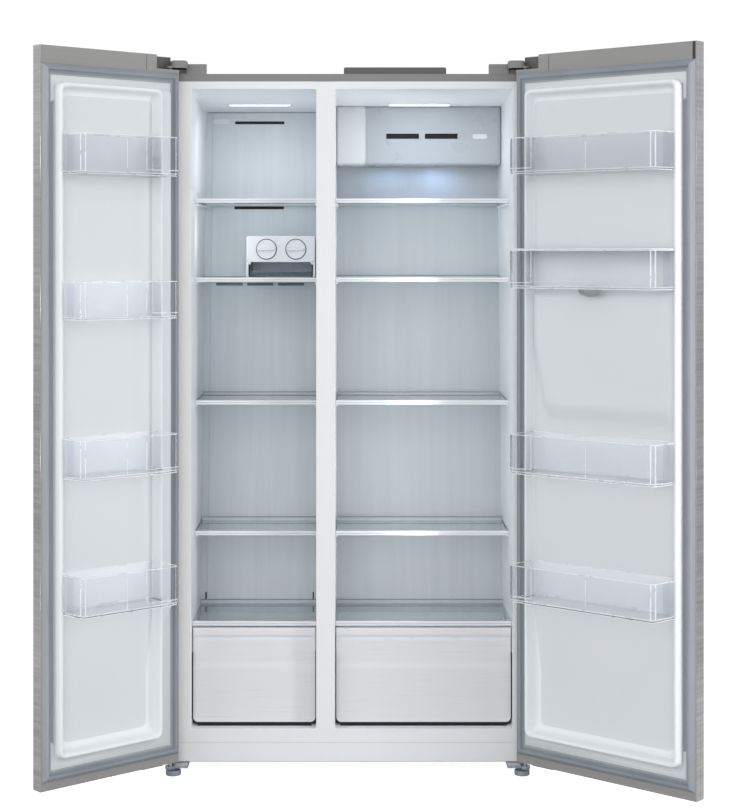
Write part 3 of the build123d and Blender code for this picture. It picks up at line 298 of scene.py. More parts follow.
for name, material in {
        "cabinet_shell": WRAPPER, "rear_panel": GALVANISED, "base_frame": GALVANISED, "insulation_foam": FOAM,
        "freezer_liner": ROOM, "fridge_liner": ROOM, "mullion_front": FLANGE, "kick_plate": FLANGE,
        "compressor": ENAMEL, "condenser_coil": ENAMEL, "machine_room_cover": GALVANISED,
        "evaporator_fan_motor": PADDLE, "evaporator_coil": FINS, "evaporator_cover": BACK_SHADED,
        "fridge_duct_box": AIR_BOX_SHADED, "top_covers": COVER, "lamp_bars": LAMP, "power_inlet": DARK,
        "top_hinges": HINGE, "bottom_hinges": ZINC, "drawer_covers": GLASS, "ice_maker_housing": DUCT,
        "ice_tray_left": LID, "ice_tray_right": LID, "ice_bin": SMOKE, "water_tank": TANK, "tank_lid": LID,
        "dispenser_niche": NICHE, "dispenser_paddle": PADDLE, "foot_left": FOOT, "foot_right": FOOT,
        "rear_rollers": DARK, "evaporator_fan": FAN, "freezer_drawer": DRAWER, "fridge_drawer": DRAWER,
        **{f"{d}_door_{part}": m for d in ("freezer", "fridge") for part, m in (
            ("skin", STEEL), ("end_caps", CAP), ("foam", FOAM), ("gasket", GASKET), ("liner", LINER))},
        **{n: GLASS for n in nodes if "_shelf_" in n}, **{n: BIN for n in nodes if "_bin_" in n}}.items():
    mesh = nodes[name].data
    mesh.materials.clear()
    mesh.materials.append(material)


# ======== mesh helpers ========

def finish_piece(name, bm, material, node, replaces=False, bevel=0.0, segments=3, smooth=40, weighted=False):
    """Turns a bmesh into a piece that rides on the node's body, and hides the node when it replaces it."""
    bmesh.ops.remove_doubles(bm, verts=bm.verts, dist=1e-6)
    bmesh.ops.recalc_face_normals(bm, faces=bm.faces)
    mesh = bpy.data.meshes.new(name)
    bm.to_mesh(mesh)
    bm.free()
    piece = bpy.data.objects.new(name, mesh)
    bpy.context.scene.collection.objects.link(piece)
    for m in material if isinstance(material, (list, tuple)) else [material]:
        mesh.materials.append(m)
    mesh.shade_smooth()
    mesh.set_sharp_from_angle(angle=radians(smooth))
    if bevel:
        rounding = piece.modifiers.new("rounding", "BEVEL")
        rounding.width = bevel
        rounding.segments = segments
        rounding.limit_method = "WEIGHT" if weighted else "ANGLE"
        rounding.angle_limit = radians(32)
        rounding.harden_normals = True
    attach(piece, body_of[node])
    if replaces:
        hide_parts(*([node] if replaces is True else replaces))
    return piece


def world_point(x, y, z):
    """A point of the cabinet, from millimetres."""
    return Vector((x * MM, y * MM, z * MM))


def upright(x, z, y):
    """A point of an outline that stands in the front plane, at the depth y."""
    return world_point(x, y, z)


def block(bm, lo, hi, put=world_point):
    """A box between two corners."""
    corners = [bm.verts.new(put(x, y, z))
               for x in (lo[0], hi[0]) for y in (lo[1], hi[1]) for z in (lo[2], hi[2])]
    for face in ((0, 1, 3, 2), (4, 6, 7, 5), (0, 4, 5, 1), (2, 3, 7, 6), (0, 2, 6, 4), (1, 5, 7, 3)):
        bm.faces.new([corners[i] for i in face])


def loft(bm, loops, cap_start=False, cap_end=False, closed=True):
    """Quads between loops of equal length."""
    rows = [[bm.verts.new(p) for p in loop] for loop in loops]
    count = len(rows[0])
    for a, b in zip(rows, rows[1:]):
        for i in range(count if closed else count - 1):
            j = (i + 1) % count
            bm.faces.new((a[i], a[j], b[j], b[i]))
    if cap_start:
        bm.faces.new(rows[0])
    if cap_end:
        bm.faces.new(rows[-1])
    return rows


def tiers(outline, steps, put=world_point):
    """One closed outline repeated at (inset, height) steps."""
    return [[put(p, q, h) for p, q in inset_polygon(outline, i)] for i, h in steps]


def rounded(a0, a1, b0, b1, r, steps=6):
    """A rectangle with rounded corners; r is one radius or four, from (a1, b1) on, turning left."""
    radii = r if isinstance(r, (list, tuple)) else (r,) * 4
    points = []
    for k, (ca, cb) in enumerate(((a1, b1), (a0, b1), (a0, b0), (a1, b0))):
        q = max(radii[k], 1e-5)
        ma, mb = ca + (-q if ca == a1 else q), cb + (-q if cb == b1 else q)
        for i in range(steps + 1):
            turn = pi / 2 * (k + i / steps)
            points.append((ma + q * cos(turn), mb + q * sin(turn)))
    return points


def polygon_round(corners, radii, steps=5):
    """Rounds the corners of a polygon with arcs that touch both neighbours."""
    out = []
    for i, (p, r) in enumerate(zip(corners, radii)):
        p, a, b = Vector(p), Vector(corners[i - 1]), Vector(corners[(i + 1) % len(corners)])
        u, v = (a - p).normalized(), (b - p).normalized()
        if r <= 0:
            out.append(tuple(p))
            continue
        half = u.angle(v) / 2
        reach = r / max(1e-6, abs(sin(half) / cos(half)))
        centre = p + (u + v).normalized() * (r / sin(half))
        start, end = p + u * reach - centre, p + v * reach - centre
        a0, a1 = atan2(start.y, start.x), atan2(end.y, end.x)
        if a1 - a0 > pi:
            a1 -= 2 * pi
        if a0 - a1 > pi:
            a1 += 2 * pi
        for k in range(steps + 1):
            t = a0 + (a1 - a0) * k / steps
            out.append((centre.x + r * cos(t), centre.y + r * sin(t)))
    return out


def inset_polygon(points, by):
    """Moves each point of a closed outline inwards by a distance along its corner's bisector."""
    area = sum(a[0] * b[1] - b[0] * a[1] for a, b in zip(points, points[1:] + points[:1]))
    sign = 1 if area > 0 else -1
    out = []
    for i, p in enumerate(points):
        a, b = points[i - 1], points[(i + 1) % len(points)]
        u, v = Vector((p[0] - a[0], p[1] - a[1])), Vector((b[0] - p[0], b[1] - p[1]))
        if u.length < 1e-9:
            u = v
        if v.length < 1e-9:
            v = u
        u.normalize(), v.normalize()
        nu, nv = Vector((-u.y, u.x)), Vector((-v.y, v.x))
        m = nu + nv
        m = m / max(m.dot(nu), 0.3)
        out.append((p[0] + sign * by * m.x, p[1] + sign * by * m.y))
    return out


# ======== camera, light and stage ========

camera = bpy.data.objects.new("camera", bpy.data.cameras.new("camera"))
bpy.context.scene.collection.objects.link(camera)
bpy.context.scene.camera = camera
camera.location = (0.0082, -4.5318, 1.2944)
camera.rotation_euler = (pi / 2, 0, 0)
camera.data.sensor_fit = "HORIZONTAL"
camera.data.sensor_width = 36.0
camera.data.lens = 89.47
camera.data.shift_x = 0.0192
camera.data.shift_y = -0.2066
camera.data.clip_end = 200.0


def area_light(name, place, target, size, power, colour=(1, 1, 1), seen=True):
    """A soft lamp that aims at a target; seen says whether glossy surfaces mirror it."""
    lamp = bpy.data.lights.new(name, "AREA")
    lamp.shape = "RECTANGLE"
    lamp.size, lamp.size_y = size
    lamp.energy = power
    lamp.color = colour
    thing = bpy.data.objects.new(name, lamp)
    thing.location = place
    thing.rotation_euler = (Vector(target) - Vector(place)).to_track_quat("-Z", "Y").to_euler()
    thing.visible_camera = False
    thing.visible_glossy = seen
    bpy.context.scene.collection.objects.link(thing)
    return thing


KEY = ((-0.5, -5.0, 2.0), (0, 0, 0.95), (3.4, 2.8))
area_light("key", *KEY, 80, seen=False)
area_light("key_gloss", *KEY, 22).visible_diffuse = False
for name, side, power in (("fill_right", 1, 18), ("fill_left", -1, 37)):
    area_light(name, (side * 3.6, -2.6, 1.6), (0, 0, 0.9), (2.0, 2.6), power, seen=False)
area_light("top_light", (0, 0.6, 4.2), (0, 0.2, 1.7), (3.0, 2.4), 14)
area_light("side_light", (2.3, -1.35, 1.15), (0.85, -0.35, 1.0), (0.4, 2.2), 20, seen=False)

world = bpy.data.worlds.new("studio")
bpy.context.scene.world = world
world.use_nodes = True
sky = world.node_tree
choice = sky.nodes.new("ShaderNodeMixShader")
rays = sky.nodes.new("ShaderNodeLightPath")
sky.links.new(rays.outputs["Is Camera Ray"], choice.inputs["Fac"])
for i, (backdrop, colour, strength) in enumerate((
        (sky.nodes["Background"], (0.96, 0.98, 1.0, 1.0), 0.56),
        (sky.nodes.new("ShaderNodeBackground"), (1.0, 1.0, 1.0, 1.0), 1.02))):
    backdrop.inputs["Color"].default_value = colour
    backdrop.inputs["Strength"].default_value = strength
    sky.links.new(backdrop.outputs["Background"], choice.inputs[i + 1])
sky.links.new(choice.outputs["Shader"], sky.nodes["World Output"].inputs["Surface"])
bpy.context.scene.view_settings.view_transform = "Standard"

floor_paint = Nodes("floor_paint")
floor_paint.link(floor_paint.colours(floor_paint.noise(size=0.6), (0.52, 0.52, 0.52), (0.56, 0.56, 0.56)),
                 floor_paint.shader.inputs["Base Color"])
floor_paint.constant(Roughness=0.8, Specular_IOR_Level=0.1)
floor_lit = floor_paint.add("ShaderNodeEmission")
floor_lit.inputs["Strength"].default_value = 0.92
floor_sum = floor_paint.add("ShaderNodeAddShader")
floor_pick = floor_paint.add("ShaderNodeMixShader")
for source, target in (
        (floor_paint.add("ShaderNodeLightPath").outputs["Is Camera Ray"], floor_pick.inputs["Fac"]),
        (floor_paint.shader.outputs["BSDF"], floor_sum.inputs[0]),
        (floor_lit.outputs["Emission"], floor_sum.inputs[1]),
        (floor_paint.shader.outputs["BSDF"], floor_pick.inputs[1]),
        (floor_sum.outputs["Shader"], floor_pick.inputs[2]),
        (floor_pick.outputs["Shader"], floor_paint.output.inputs["Surface"])):
    floor_paint.link(source, target)

bm = bmesh.new()
bmesh.ops.create_circle(bm, cap_ends=True, segments=64, radius=60.0)
floor_mesh = bpy.data.meshes.new("studio_floor")
bm.to_mesh(floor_mesh)
bm.free()
floor_mesh.materials.append(floor_paint.material)
studio_floor = bpy.data.objects.new("studio_floor", floor_mesh)
bpy.context.scene.collection.objects.link(studio_floor)


# ======== doors ========

class Door:
    """A door's own millimetres: s from the hinge side, n inwards from the inner face, z up.

    The values hold for the shut door; at() gives the point on the door as it stands at rest.
    """

    def __init__(self, name, side):
        self.name, self.side = name, side
        joint = joint_of[f"{name}_swing"]
        pin = Vector(joint["pos_m"])
        turn = Matrix.Rotation(radians(-joint["range_deg"][0]), 4, Vector(joint["axis"]))
        self.open = Matrix.Translation(pin) @ turn @ Matrix.Translation(-pin)
        shut = self.open.inverted()
        skin = [shut @ v.co for v in nodes[f"{name}_skin"].data.vertices]
        xs = [side * v.x for v in skin]
        self.width = (max(xs) - min(xs)) / MM
        self.edge = max(xs)
        self.face = max(v.y for v in skin)
        self.low, self.high = min(v.z for v in skin) / MM, max(v.z for v in skin) / MM

    def at(self, s, n, z):
        return self.open @ Vector((self.side * (self.edge - s * MM), self.face + n * MM, z * MM))

    def loop(self, outline, n):
        """An outline of (s, z) pairs at one depth."""
        return [self.at(s, n, z) for s, z in outline]

    def flat(self, outline, z):
        """An outline of (s, n) pairs at one height."""
        return [self.at(s, n, z) for s, n in outline]


LEFT, RIGHT = Door("freezer_door", -1), Door("fridge_door", 1)
CAP_TOP, CAP_FOOT = 44.0, 22.0        # heights of the upper and lower end caps
RIM_LOW, RIM_HIGH = 113.5, 1700.0     # lower and upper edge of the door liners' rim
BIN_NECK, BIN_FRONT = 40.0, 108.0     # depths n where the door bins widen and where they end
BACK_SHEET = (376.0, 1686.0)          # foot and top of the freezer's back panel


def ease(t):
    """Smooth step from 0 to 1."""
    t = max(0.0, min(1.0, t))
    return t * t * (3 - 2 * t)


def gasket(door):
    """Magnetic gasket with its lip, bulb and the channel beside the liner."""
    e, w = 4.0, door.width
    lo, hi = door.low + CAP_FOOT, door.high - CAP_TOP
    profile = ((-2.4, 0.1), (-2.4, 0.7), (-1.6, 1.1), (0.0, 1.3), (0.0, 3.2), (1.2, 5.0), (3.4, 6.0),
               (4.6, 8.6), (5.6, 10.6), (7.4, 11.5), (11.0, 11.5), (12.8, 10.6), (13.8, 8.4),
               (14.6, 4.0), (16.0, 3.4), (19.0, 4.6), (21.0, 3.2))
    bm = bmesh.new()
    loft(bm, [door.loop(rounded(e + i, w - e - i, lo + i, hi - i, 0.4, 1), n) for i, n in profile])
    shut = door.open.inverted()
    # the hinge side and the top and bottom ends take the darker copy of the rubber: painted shade
    for face in bm.faces:
        middle = shut @ face.calc_center_median()
        if (door.edge - door.side * middle.x) / MM < 32.0 or not lo + 22.0 < middle.z / MM < hi - 22.0:
            face.material_index = 1
    finish_piece(f"{door.name}_gasket_seal", bm, [GASKET, GASKET_SHADED], f"{door.name}_gasket",
                 replaces=True, smooth=50)
    bm = bmesh.new()
    channel = ((20.5, 3.4), (22.0, 2.2), (27.5, 1.6), (34.0, 1.4))
    loft(bm, [door.loop(rounded(e + i, w - e - i, lo + i, hi - i, 0.4, 1), n) for i, n in channel])
    finish_piece(f"{door.name}_gasket_channel", bm, GASKET_DEEP, f"{door.name}_gasket", smooth=50)


def liner_field(rim, bulge):
    """Depth of the panel inside the rim, as a function of s and z; behind the dispenser it swells out."""
    def depth(s, z):
        if not bulge:
            return 2.6
        side = 46.0 + 42.0 * max(0.0, (1092.0 - z) / 205.0) ** 1.3
        out = (17.2 * ease((z - 884.0) / 54.0) + 6.0 * ease((z - 960.0) / 130.0)) * ease((1212.0 - z) / 10.0)
        return 2.6 + out * ease((s - side) / 34.0) * ease((rim[1] - 8.0 - s) / 34.0)
    return depth


def door_liner(door, rim, bulge=False):
    """Drawn inner panel: border, raised rim with soft edges, and the field inside it."""
    w = door.width
    lo, hi = door.low + CAP_FOOT + 26, door.high - CAP_TOP - 26
    shut = door.open.inverted()
    node = f"{door.name}_liner"
    # border plate, stepped at its free side
    free = w - 30.0
    border = [(28.0, lo - 1), (free + 4.0, lo - 1), (free + 4.0, 152.0), (free - 5.0, 147.0),
              (free - 5.0, 1657.0), (free + 4.0, 1652.0), (free + 4.0, hi + 1), (28.0, hi + 1)]
    bm = bmesh.new()
    r0, r1 = rim
    under = [(r0 + 4.0, 125.0), (r1 - 4.0, 125.0), (r1 - 4.0, 150.0), (r1 - 4.0, 155.0),
             (r1 - 4.0, 1645.0), (r1 - 4.0, 1650.0), (r1 - 4.0, 1690.0), (r0 + 4.0, 1690.0)]
    loft(bm, [door.loop(border, 0.6), door.loop(border, 2.2), door.loop(inset_polygon(border, 1.2), 3.2),
              door.loop(under, 3.2)])
    finish_piece(f"{door.name}_liner_border", bm, LINER, node, smooth=60)
    # raised rim, and the pad that fills the space between it and the gasket on the hinge side
    pad = [(31.0, 425.0), (31.0, 1688.0), (33.0, 1696.0), (r0 + 3.0, 1699.0), (r0 + 3.0, 345.0)]
    bm = bmesh.new()
    loft(bm, [door.loop(pad, 2.0), *(door.loop(inset_polygon(pad, i), n) for i, n in (
        (0.4, 9.5), (1.4, 11.2), (3.0, 11.6)))], cap_end=True)
    finish_piece(f"{door.name}_liner_pad", bm, LINER, node, smooth=80)

    flare = (free - 5.0 - r1 - 7.0) / 7.0 ** 0.5

    def dip(s):
        """Share of the wave in the rim's lower wall, which grows towards the free side."""
        return ease((s - (r0 + 0.34 * (r1 - r0))) / (0.30 * (r1 - r0)))

    def shifted(row, shift):
        """Moves the points of a loop towards the hinge by shift(s, z)."""
        out = []
        for point in row:
            p = shut @ point
            p.x += door.side * MM * shift((door.edge - door.side * p.x) / MM, p.z / MM)
            out.append(door.open @ p)
        return out

    def ring(out, n, r, low=RIM_LOW, lens=0.0):
        """One loop of the rim; its outer wall reaches the border's edge on the free side."""
        points = []
        for s, z in rounded(r0 - out, r1 + out, low - out, RIM_HIGH + out, max(r, 0.5), 8):
            if lens and z < 140:
                z -= lens * dip(s) * ease((140 - z) / 30)
            points.append((s, z))
        dense = []
        for a, b in zip(points, points[1:] + points[:1]):
            gap = max(abs(a[0] - b[0]), abs(a[1] - b[1]))
            k = 12 if gap > 150 else 1
            dense += [(a[0] + (b[0] - a[0]) * i / k, a[1] + (b[1] - a[1]) * i / k) for i in range(k)]
        if lens:
            dense = [(s, z - (lens * dip(s) if z < 140 and (s, z) not in points else 0.0))
                 for s, z in dense]
        by = max(0.0, out) ** 0.5 * flare
        return shifted(door.loop(dense, n), lambda s, z: -by * ease((s - r1 + 45.0) / 40.0))

    def lean(row, by):
        """Steepens the rim's inner wall on the hinge side, above the lowest bin."""
        return shifted(row, lambda s, z: by * ease((z - 330.0) / 90.0) * ease((r0 + 60.0 - s) / 20.0)
                       if s < (r0 + r1) / 2 else 0.0)

    bm = bmesh.new()
    outer = [ring(7.0, 2.0, 25, low=104.0, lens=5.0), ring(5.0, 3.0, 24, low=104.0, lens=4.4),
             ring(1.8, 6.0, 21, low=104.5, lens=3.6), ring(0.3, 11.0, 20, low=112.0, lens=0.4)]
    crest = [ring(*step) for step in (
        (-0.6, 22.0, 19), (-1.6, 31.0, 18), (-3.2, 34.4, 16), (-6.0, 35.7, 14))]
    inner = [lean(ring(*step), by) for *step, by in (
        (-9.0, 35.0, 12, 2.5), (-11.6, 32.0, 11, 4.0), (-13.5, 24.0, 11, 5.0), (-15.5, 12.0, 12, 6.0),
        (-18.5, 6.0, 13, 8.2), (-24.0, 3.4, 13, 13.0), (-30.0, 2.6, 13, 18.0))]
    loft(bm, outer + crest + inner)
    # the rim takes the lighter copy of the liner plastic: painted light
    finish_piece(f"{door.name}_liner_rim", bm, RIM_LIT, node, smooth=80)
    # the field, from under the rim's foot to under its top
    field = liner_field(rim, bulge)
    bm = bmesh.new()
    across, up = 40, 150
    z0, z1 = 122.0, 1691.0
    grid = []
    for j in range(up + 1):
        z = z0 + (z1 - z0) * j / up
        grid.append([bm.verts.new(door.at(s, field(s, z), z))
                     for s in [r0 + 9 + (r1 - r0 - 18) * i / across for i in range(across + 1)]])
    for a, b in zip(grid, grid[1:]):
        for i in range(across):
            bm.faces.new((a[i], a[i + 1], b[i + 1], b[i]))
    finish_piece(f"{door.name}_liner_field", bm, LINER, node, replaces=True, smooth=180)


def bin_outline(back, front):
    """Plan of a door bin in (s, n): narrow where it sits between the rims, wider in front."""
    near = 5.0
    corners = [(back[0], near), (back[0], BIN_NECK), (front[0], BIN_NECK + 6.0), (front[0], BIN_FRONT),
               (front[1], BIN_FRONT), (back[1], BIN_NECK), (back[1], near)]
    return polygon_round(corners, [2.0, 3.0, 3.0, 13.0, 13.0, 4.0, 2.0], 5)


def door_bin(door, node, back, front, material, span=None):
    """Clear bin: tapered walls, rolled lip, stepped base, and bright lines of painted highlight along its
    edges, at its corners and round a bracket on its hinge side.

    The tank passes its own span of heights, because its roof and lid belong to other pieces.
    """
    low, high = span or (box_mm(node)[0][2], box_mm(node)[1][2])
    outline = bin_outline(back, front)
    plan = lambda inset: inset_polygon(outline, inset)
    levels = [(2.6, low), (0.9, low + 1.6), (0.9, low + 6.0), (0.2, low + 9.0), (0.2, high - 4.0),
              (0.0, high - 3.2), (0.0, high - 0.4), (0.5, high), (1.9, high), (2.4, high - 0.6),
              (2.4, low + 9.5), (3.2, low + 4.5), (5.0, low + 2.6)]
    bm = bmesh.new()
    loft(bm, [door.flat(plan(i), z) for i, z in levels], cap_start=True, cap_end=True)
    finish_piece(f"{node}_shell", bm, material, node, replaces=True, smooth=42)
    put = door.at
    # painted highlights: bright lines at the rolled lip, the foot of the walls, the corners and round the
    # hinge side bracket
    bm = bmesh.new()
    for inset, z0, z1 in ((-0.25, high - 1.8, high - 0.2), (0.5, low + 5.4, low + 7.0),
                          (1.0, low + 0.3, low + 1.9)):
        outer, inner = plan(inset), plan(inset + 0.9)
        loft(bm, [door.flat(outer, z0), door.flat(outer, z1), door.flat(inner, z1), door.flat(inner, z0),
                  door.flat(outer, z0)])
    s0, s1 = front
    wide = s1 - s0 > 350.0
    arc = [v for v in plan(-0.2) if v[0] > s1 - 13.5 and v[1] > 94.0]
    for s, n in (arc[1], arc[-2]):
        block(bm, (s - 1.1, n - 1.0, low + 6), (s + 1.1, n + 0.6, high - 1), put)
    bracket = s0 + (66.0 if wide else 94.0)
    block(bm, (bracket, 107.4, low + 15), (bracket + 1.6, 108.1, high - 3), put)
    block(bm, (s0 + 4.0, 107.4, low + 13.4), (bracket + 1.6, 108.1, low + 15), put)
    if not span:
        seam = s0 + 0.545 * (s1 - s0)
        block(bm, (seam, 107.4, low + 8), (seam + 1.4, 108.1, high - 12), put)
    finish_piece(f"{node}_edges", bm, BIN_HIGHLIGHT, node, smooth=40)
    # darker clear films on the free side wall and at the hinge end of the front
    bm = bmesh.new()
    slope = (front[1] - back[1]) / (BIN_FRONT - BIN_NECK)
    near = back[1] - 4.0 + slope * 4.0
    far = near + slope * 24.0
    film = [(near, 44.0), (far, 68.0), (far - 0.8, 68.0), (near - 0.8, 44.0)]
    loft(bm, [door.flat(film, low + 5.0), door.flat(film, high - 3.0)], cap_start=True, cap_end=True)
    block(bm, (s0 + 4.0, 104.4, low + 5), (s0 + 16.0, 105.2, high - 3), put)
    finish_piece(f"{node}_tabs", bm, BIN_DARK_FILM, node, bevel=0.0002, segments=2)


FREEZER_BIN = ((81.0, 355.0), (76.0, 350.0))        # spans in s at the back and at the front
FRIDGE_BIN = ((57.0, 469.0), (54.0, 460.0))
gasket(LEFT), gasket(RIGHT)
door_liner(LEFT, (70.0, 366.0))
door_liner(RIGHT, (46.0, 479.0), bulge=True)
for door, label, spans, count in ((LEFT, "freezer", FREEZER_BIN, 4), (RIGHT, "fridge", FRIDGE_BIN, 3)):
    for i in range(count):
        # the top bins take the shaded copy of the bin plastic: painted shade
        door_bin(door, f"{label}_bin_{i + 1}", *spans, BIN if i else BIN_SHADED)


def disc(put, centre, profile, steps=36):
    """Rings for a turned piece; profile is (radius, height) pairs and put places (a, b, height)."""
    return [[put(centre[0] + r * cos(2 * pi * i / steps), centre[1] + r * sin(2 * pi * i / steps), h)
             for i in range(steps)] for r, h in profile]


def tank():
    """Water tank: a clear tub under a white roof and lid, with the valve's bowl below."""
    door, bowl_depth, centre = RIGHT, 18.0, 255.0
    (_, _, low), (_, _, top) = box_mm("water_tank")
    low += bowl_depth
    door_bin(door, "water_tank", *FRIDGE_BIN, BIN, (low, box_mm("tank_lid")[0][2] - 0.2))
    bm = bmesh.new()
    roof = rounded(FRIDGE_BIN[0][0] + 0.3, FRIDGE_BIN[0][1] - 0.3, 5.0, 40.0, 1.5, 3)
    loft(bm, tiers(roof, ((0.0, top - 4.2), (0.0, top - 0.5), (0.5, top)), door.at),
         cap_start=True, cap_end=True)
    finish_piece("water_tank_roof", bm, LID, "water_tank", smooth=40)
    bm = bmesh.new()
    bowl = [(28.0 * cos(a * pi / 24), low + 0.4 - bowl_depth * sin(a * pi / 24)) for a in range(12)]
    loft(bm, disc(door.at, (centre, 60.0), [*bowl, (4.0, low - 17.9), (3.0, low - 16.6)]), cap_end=True)
    finish_piece("water_tank_valve", bm, VALVE, "water_tank", smooth=50)
    plan = [(s, max(n, 42.0)) for s, n in bin_outline(*FRIDGE_BIN)]
    low_edge = [(s, max(n, 42.9)) for s, n in inset_polygon(plan, 0.2)]
    bm = bmesh.new()
    loft(bm, [door.flat(low_edge, top - 3.0), door.flat([(s, max(n, 42.3)) for s, n in plan], top - 2.6),
              door.flat(plan, top - 0.7), door.flat(inset_polygon(plan, 0.7), top)],
         cap_start=True, cap_end=True)
    finish_piece("tank_lid_panel", bm, LID, "tank_lid", replaces=True, smooth=40)
    bm = bmesh.new()
    slot = lambda r: rounded(centre - 30 + r, centre + 30 - r, 65.0 + r, 83.0 - r, 8.9 - r, 6)
    loft(bm, [door.flat(slot(i), top + h) for i, h in ((0, -0.2), (0, 0.6), (0.7, 1.0))], cap_end=True)
    finish_piece("tank_lid_cap", bm, LID, "tank_lid", smooth=40)
    bm = bmesh.new()
    loft(bm, [[door.at(s, 42.9 + r * cos(a * pi / 8), top - 1.5 + r * sin(a * pi / 8)) for a in range(16)]
              for s, r in ((77.0, 1.2), (77.4, 1.9), (448.6, 1.9), (449.0, 1.2))],
         cap_start=True, cap_end=True)
    finish_piece("tank_lid_hinge_rod", bm, LID, "tank_lid", smooth=40)


tank()


def cap_trim(door):
    """The dark joint lines and moulded ends of the door's upper and lower end caps."""
    bm = bmesh.new()
    put = door.at
    w, top, low = door.width, door.high, door.low
    block(bm, (24.0, -0.05, top - CAP_TOP - 0.6), (w - 4.0, 0.25, top - CAP_TOP + 0.6), put)
    block(bm, (4.0, -0.05, low + CAP_FOOT - 0.6), (w - 4.0, 0.25, low + CAP_FOOT + 0.6), put)
    block(bm, (96.0, -0.05, top - CAP_TOP + 3), (97.0, 0.25, top - 2), put)
    if door.side > 0:
        block(bm, (w - 11.0, -0.05, top - CAP_TOP - 3), (w - 3.6, 0.3, top - 1.0), put)
    else:
        for s, z in ((w - 3.4, top - CAP_TOP + 1), (w - 3.4, low + CAP_FOOT + 1)):
            block(bm, (s - 2.2, -0.05, z - 2.2), (s + 1.6, 0.35, z + 2.2), put)
    block(bm, (31.8, -33.2, low - 9.0), (92.2, -22.8, low + 0.2), put)
    finish_piece(f"{door.name}_cap_seams", bm, CAP_DARK, f"{door.name}_end_caps", smooth=30)
    # painted shade: a dark plate on the back of the hinge notch, where the recess lies in shade
    bm = bmesh.new()
    block(bm, (1.4, -33.4, 1752.2), (65.6, -32.9, top - 0.6), put)
    finish_piece(f"{door.name}_notch_lining", bm, NOTCH_SHADE, f"{door.name}_end_caps", smooth=30)


cap_trim(LEFT), cap_trim(RIGHT)


# ======== cabinet interior ========

def between_walls(name):
    """Inner width of a compartment: its shelves stop 1 mm short of both side walls."""
    lo, hi = box_mm(f"{name}_shelf_1")
    return round(lo[0] - 1.0, 2), round(hi[0] + 1.0, 2)


FREEZER, FRIDGE = between_walls("freezer"), between_walls("fridge")
SHELF_TOPS = [box_mm(f"fridge_shelf_{i}")[1][2] for i in (1, 2, 3, 4)]
HALF = box_mm("cabinet_shell")[1][0]
# the compartments' section: (y, z) of the leaning back wall's ends, and the other heights
BACK_FOOT, BACK_TOP = (300.0, 378.0), (490.0, 1688.0)
CEILING_FRONT, FLOOR, FLOOR_BACK = 1708.0, 110.0, 265.0


def back_wall(z):
    """Depth of the leaning back wall at a height."""
    (y0, z0), (y1, z1) = BACK_FOOT, BACK_TOP
    return y0 + (z - z0) * (y1 - y0) / (z1 - z0)


def ceiling(y):
    """Height of the sloping ceiling at a depth."""
    return CEILING_FRONT - (CEILING_FRONT - BACK_TOP[1]) * y / BACK_TOP[0]


def badge(name, x, z, y_of, material, node):
    """A plain oval plate without lettering on a panel whose front lies at y_of(z)."""
    bm = bmesh.new()
    outline = rounded(*x, *z, 6.4, 6)
    loft(bm, [[world_point(a, y_of(c) - h, c) for a, c in inset_polygon(outline, i)]
              for i, h in ((0.0, 0.0), (0.0, 0.7), (0.8, 1.1), (2.0, 0.8))], cap_end=True)
    finish_piece(name, bm, material, node, smooth=50)


def room(node, x, back):
    """Compartment in one sheet, rounded at its corners: flange, ceiling, back, sloped foot and floor."""
    (left, _, low), (right, _, high) = box_mm(node)
    bm = bmesh.new()
    weight = bm.edges.layers.float.new("bevel_weight_edge")
    section = [(0.0, CEILING_FRONT), BACK_TOP, BACK_FOOT, (FLOOR_BACK, FLOOR), (0.0, FLOOR)]
    if node == "freezer_liner":        # it lies just behind the back panel
        section[1:3] = [(496.0, 1687.6), (306.0, 374.0)]
    sides = [[bm.verts.new(world_point(a, y, z)) for y, z in section] for a in x]
    # the back wall and the sloped foot take the darker back material: painted shade
    for i in range(4):
        sheet = bm.faces.new((sides[0][i], sides[0][i + 1], sides[1][i + 1], sides[1][i]))
        sheet.material_index = 1 if i in (1, 2) else 0
    for side in sides:
        bm.faces.new(side)
    outer = [bm.verts.new(world_point(a, 0.0, z)) for a, z in (
        (left, high), (right, high), (right, low), (left, low))]
    inner = [sides[0][0], sides[1][0], sides[1][4], sides[0][4]]
    rim_edges = []
    for i in range(4):
        j = (i + 1) % 4
        bm.faces.new((outer[i], outer[j], inner[j], inner[i])).material_index = 2
        rim_edges.append({inner[i], inner[j]})
    for e in bm.edges:
        if len(e.link_faces) == 2:
            both = set(e.verts)
            if both in rim_edges:
                e[weight] = 0.42
            elif not both & set(outer):
                e[weight] = 1.0
    finish_piece(f"{node}_walls", bm, [ROOM, back, FLANGE], node, replaces=True,
                 bevel=0.018, segments=5, smooth=40, weighted=True)
    # moulded ledges that carry the shelves, with rounded noses
    bm = bmesh.new()
    for top in SHELF_TOPS:
        under = top - 11.4
        for a, b in ((x[0] - 0.5, x[0] + 6.0), (x[1] - 6.0, x[1] + 0.5)):
            block(bm, (a, 122.0, under - 6.0), (b, back_wall(top) - 30.0, under))
    finish_piece(f"{node}_ledges", bm, ROOM, node, bevel=0.0012)


room("freezer_liner", FREEZER, BACK_SHADED)
room("fridge_liner", FRIDGE, FRIDGE_BACK_SHADED)


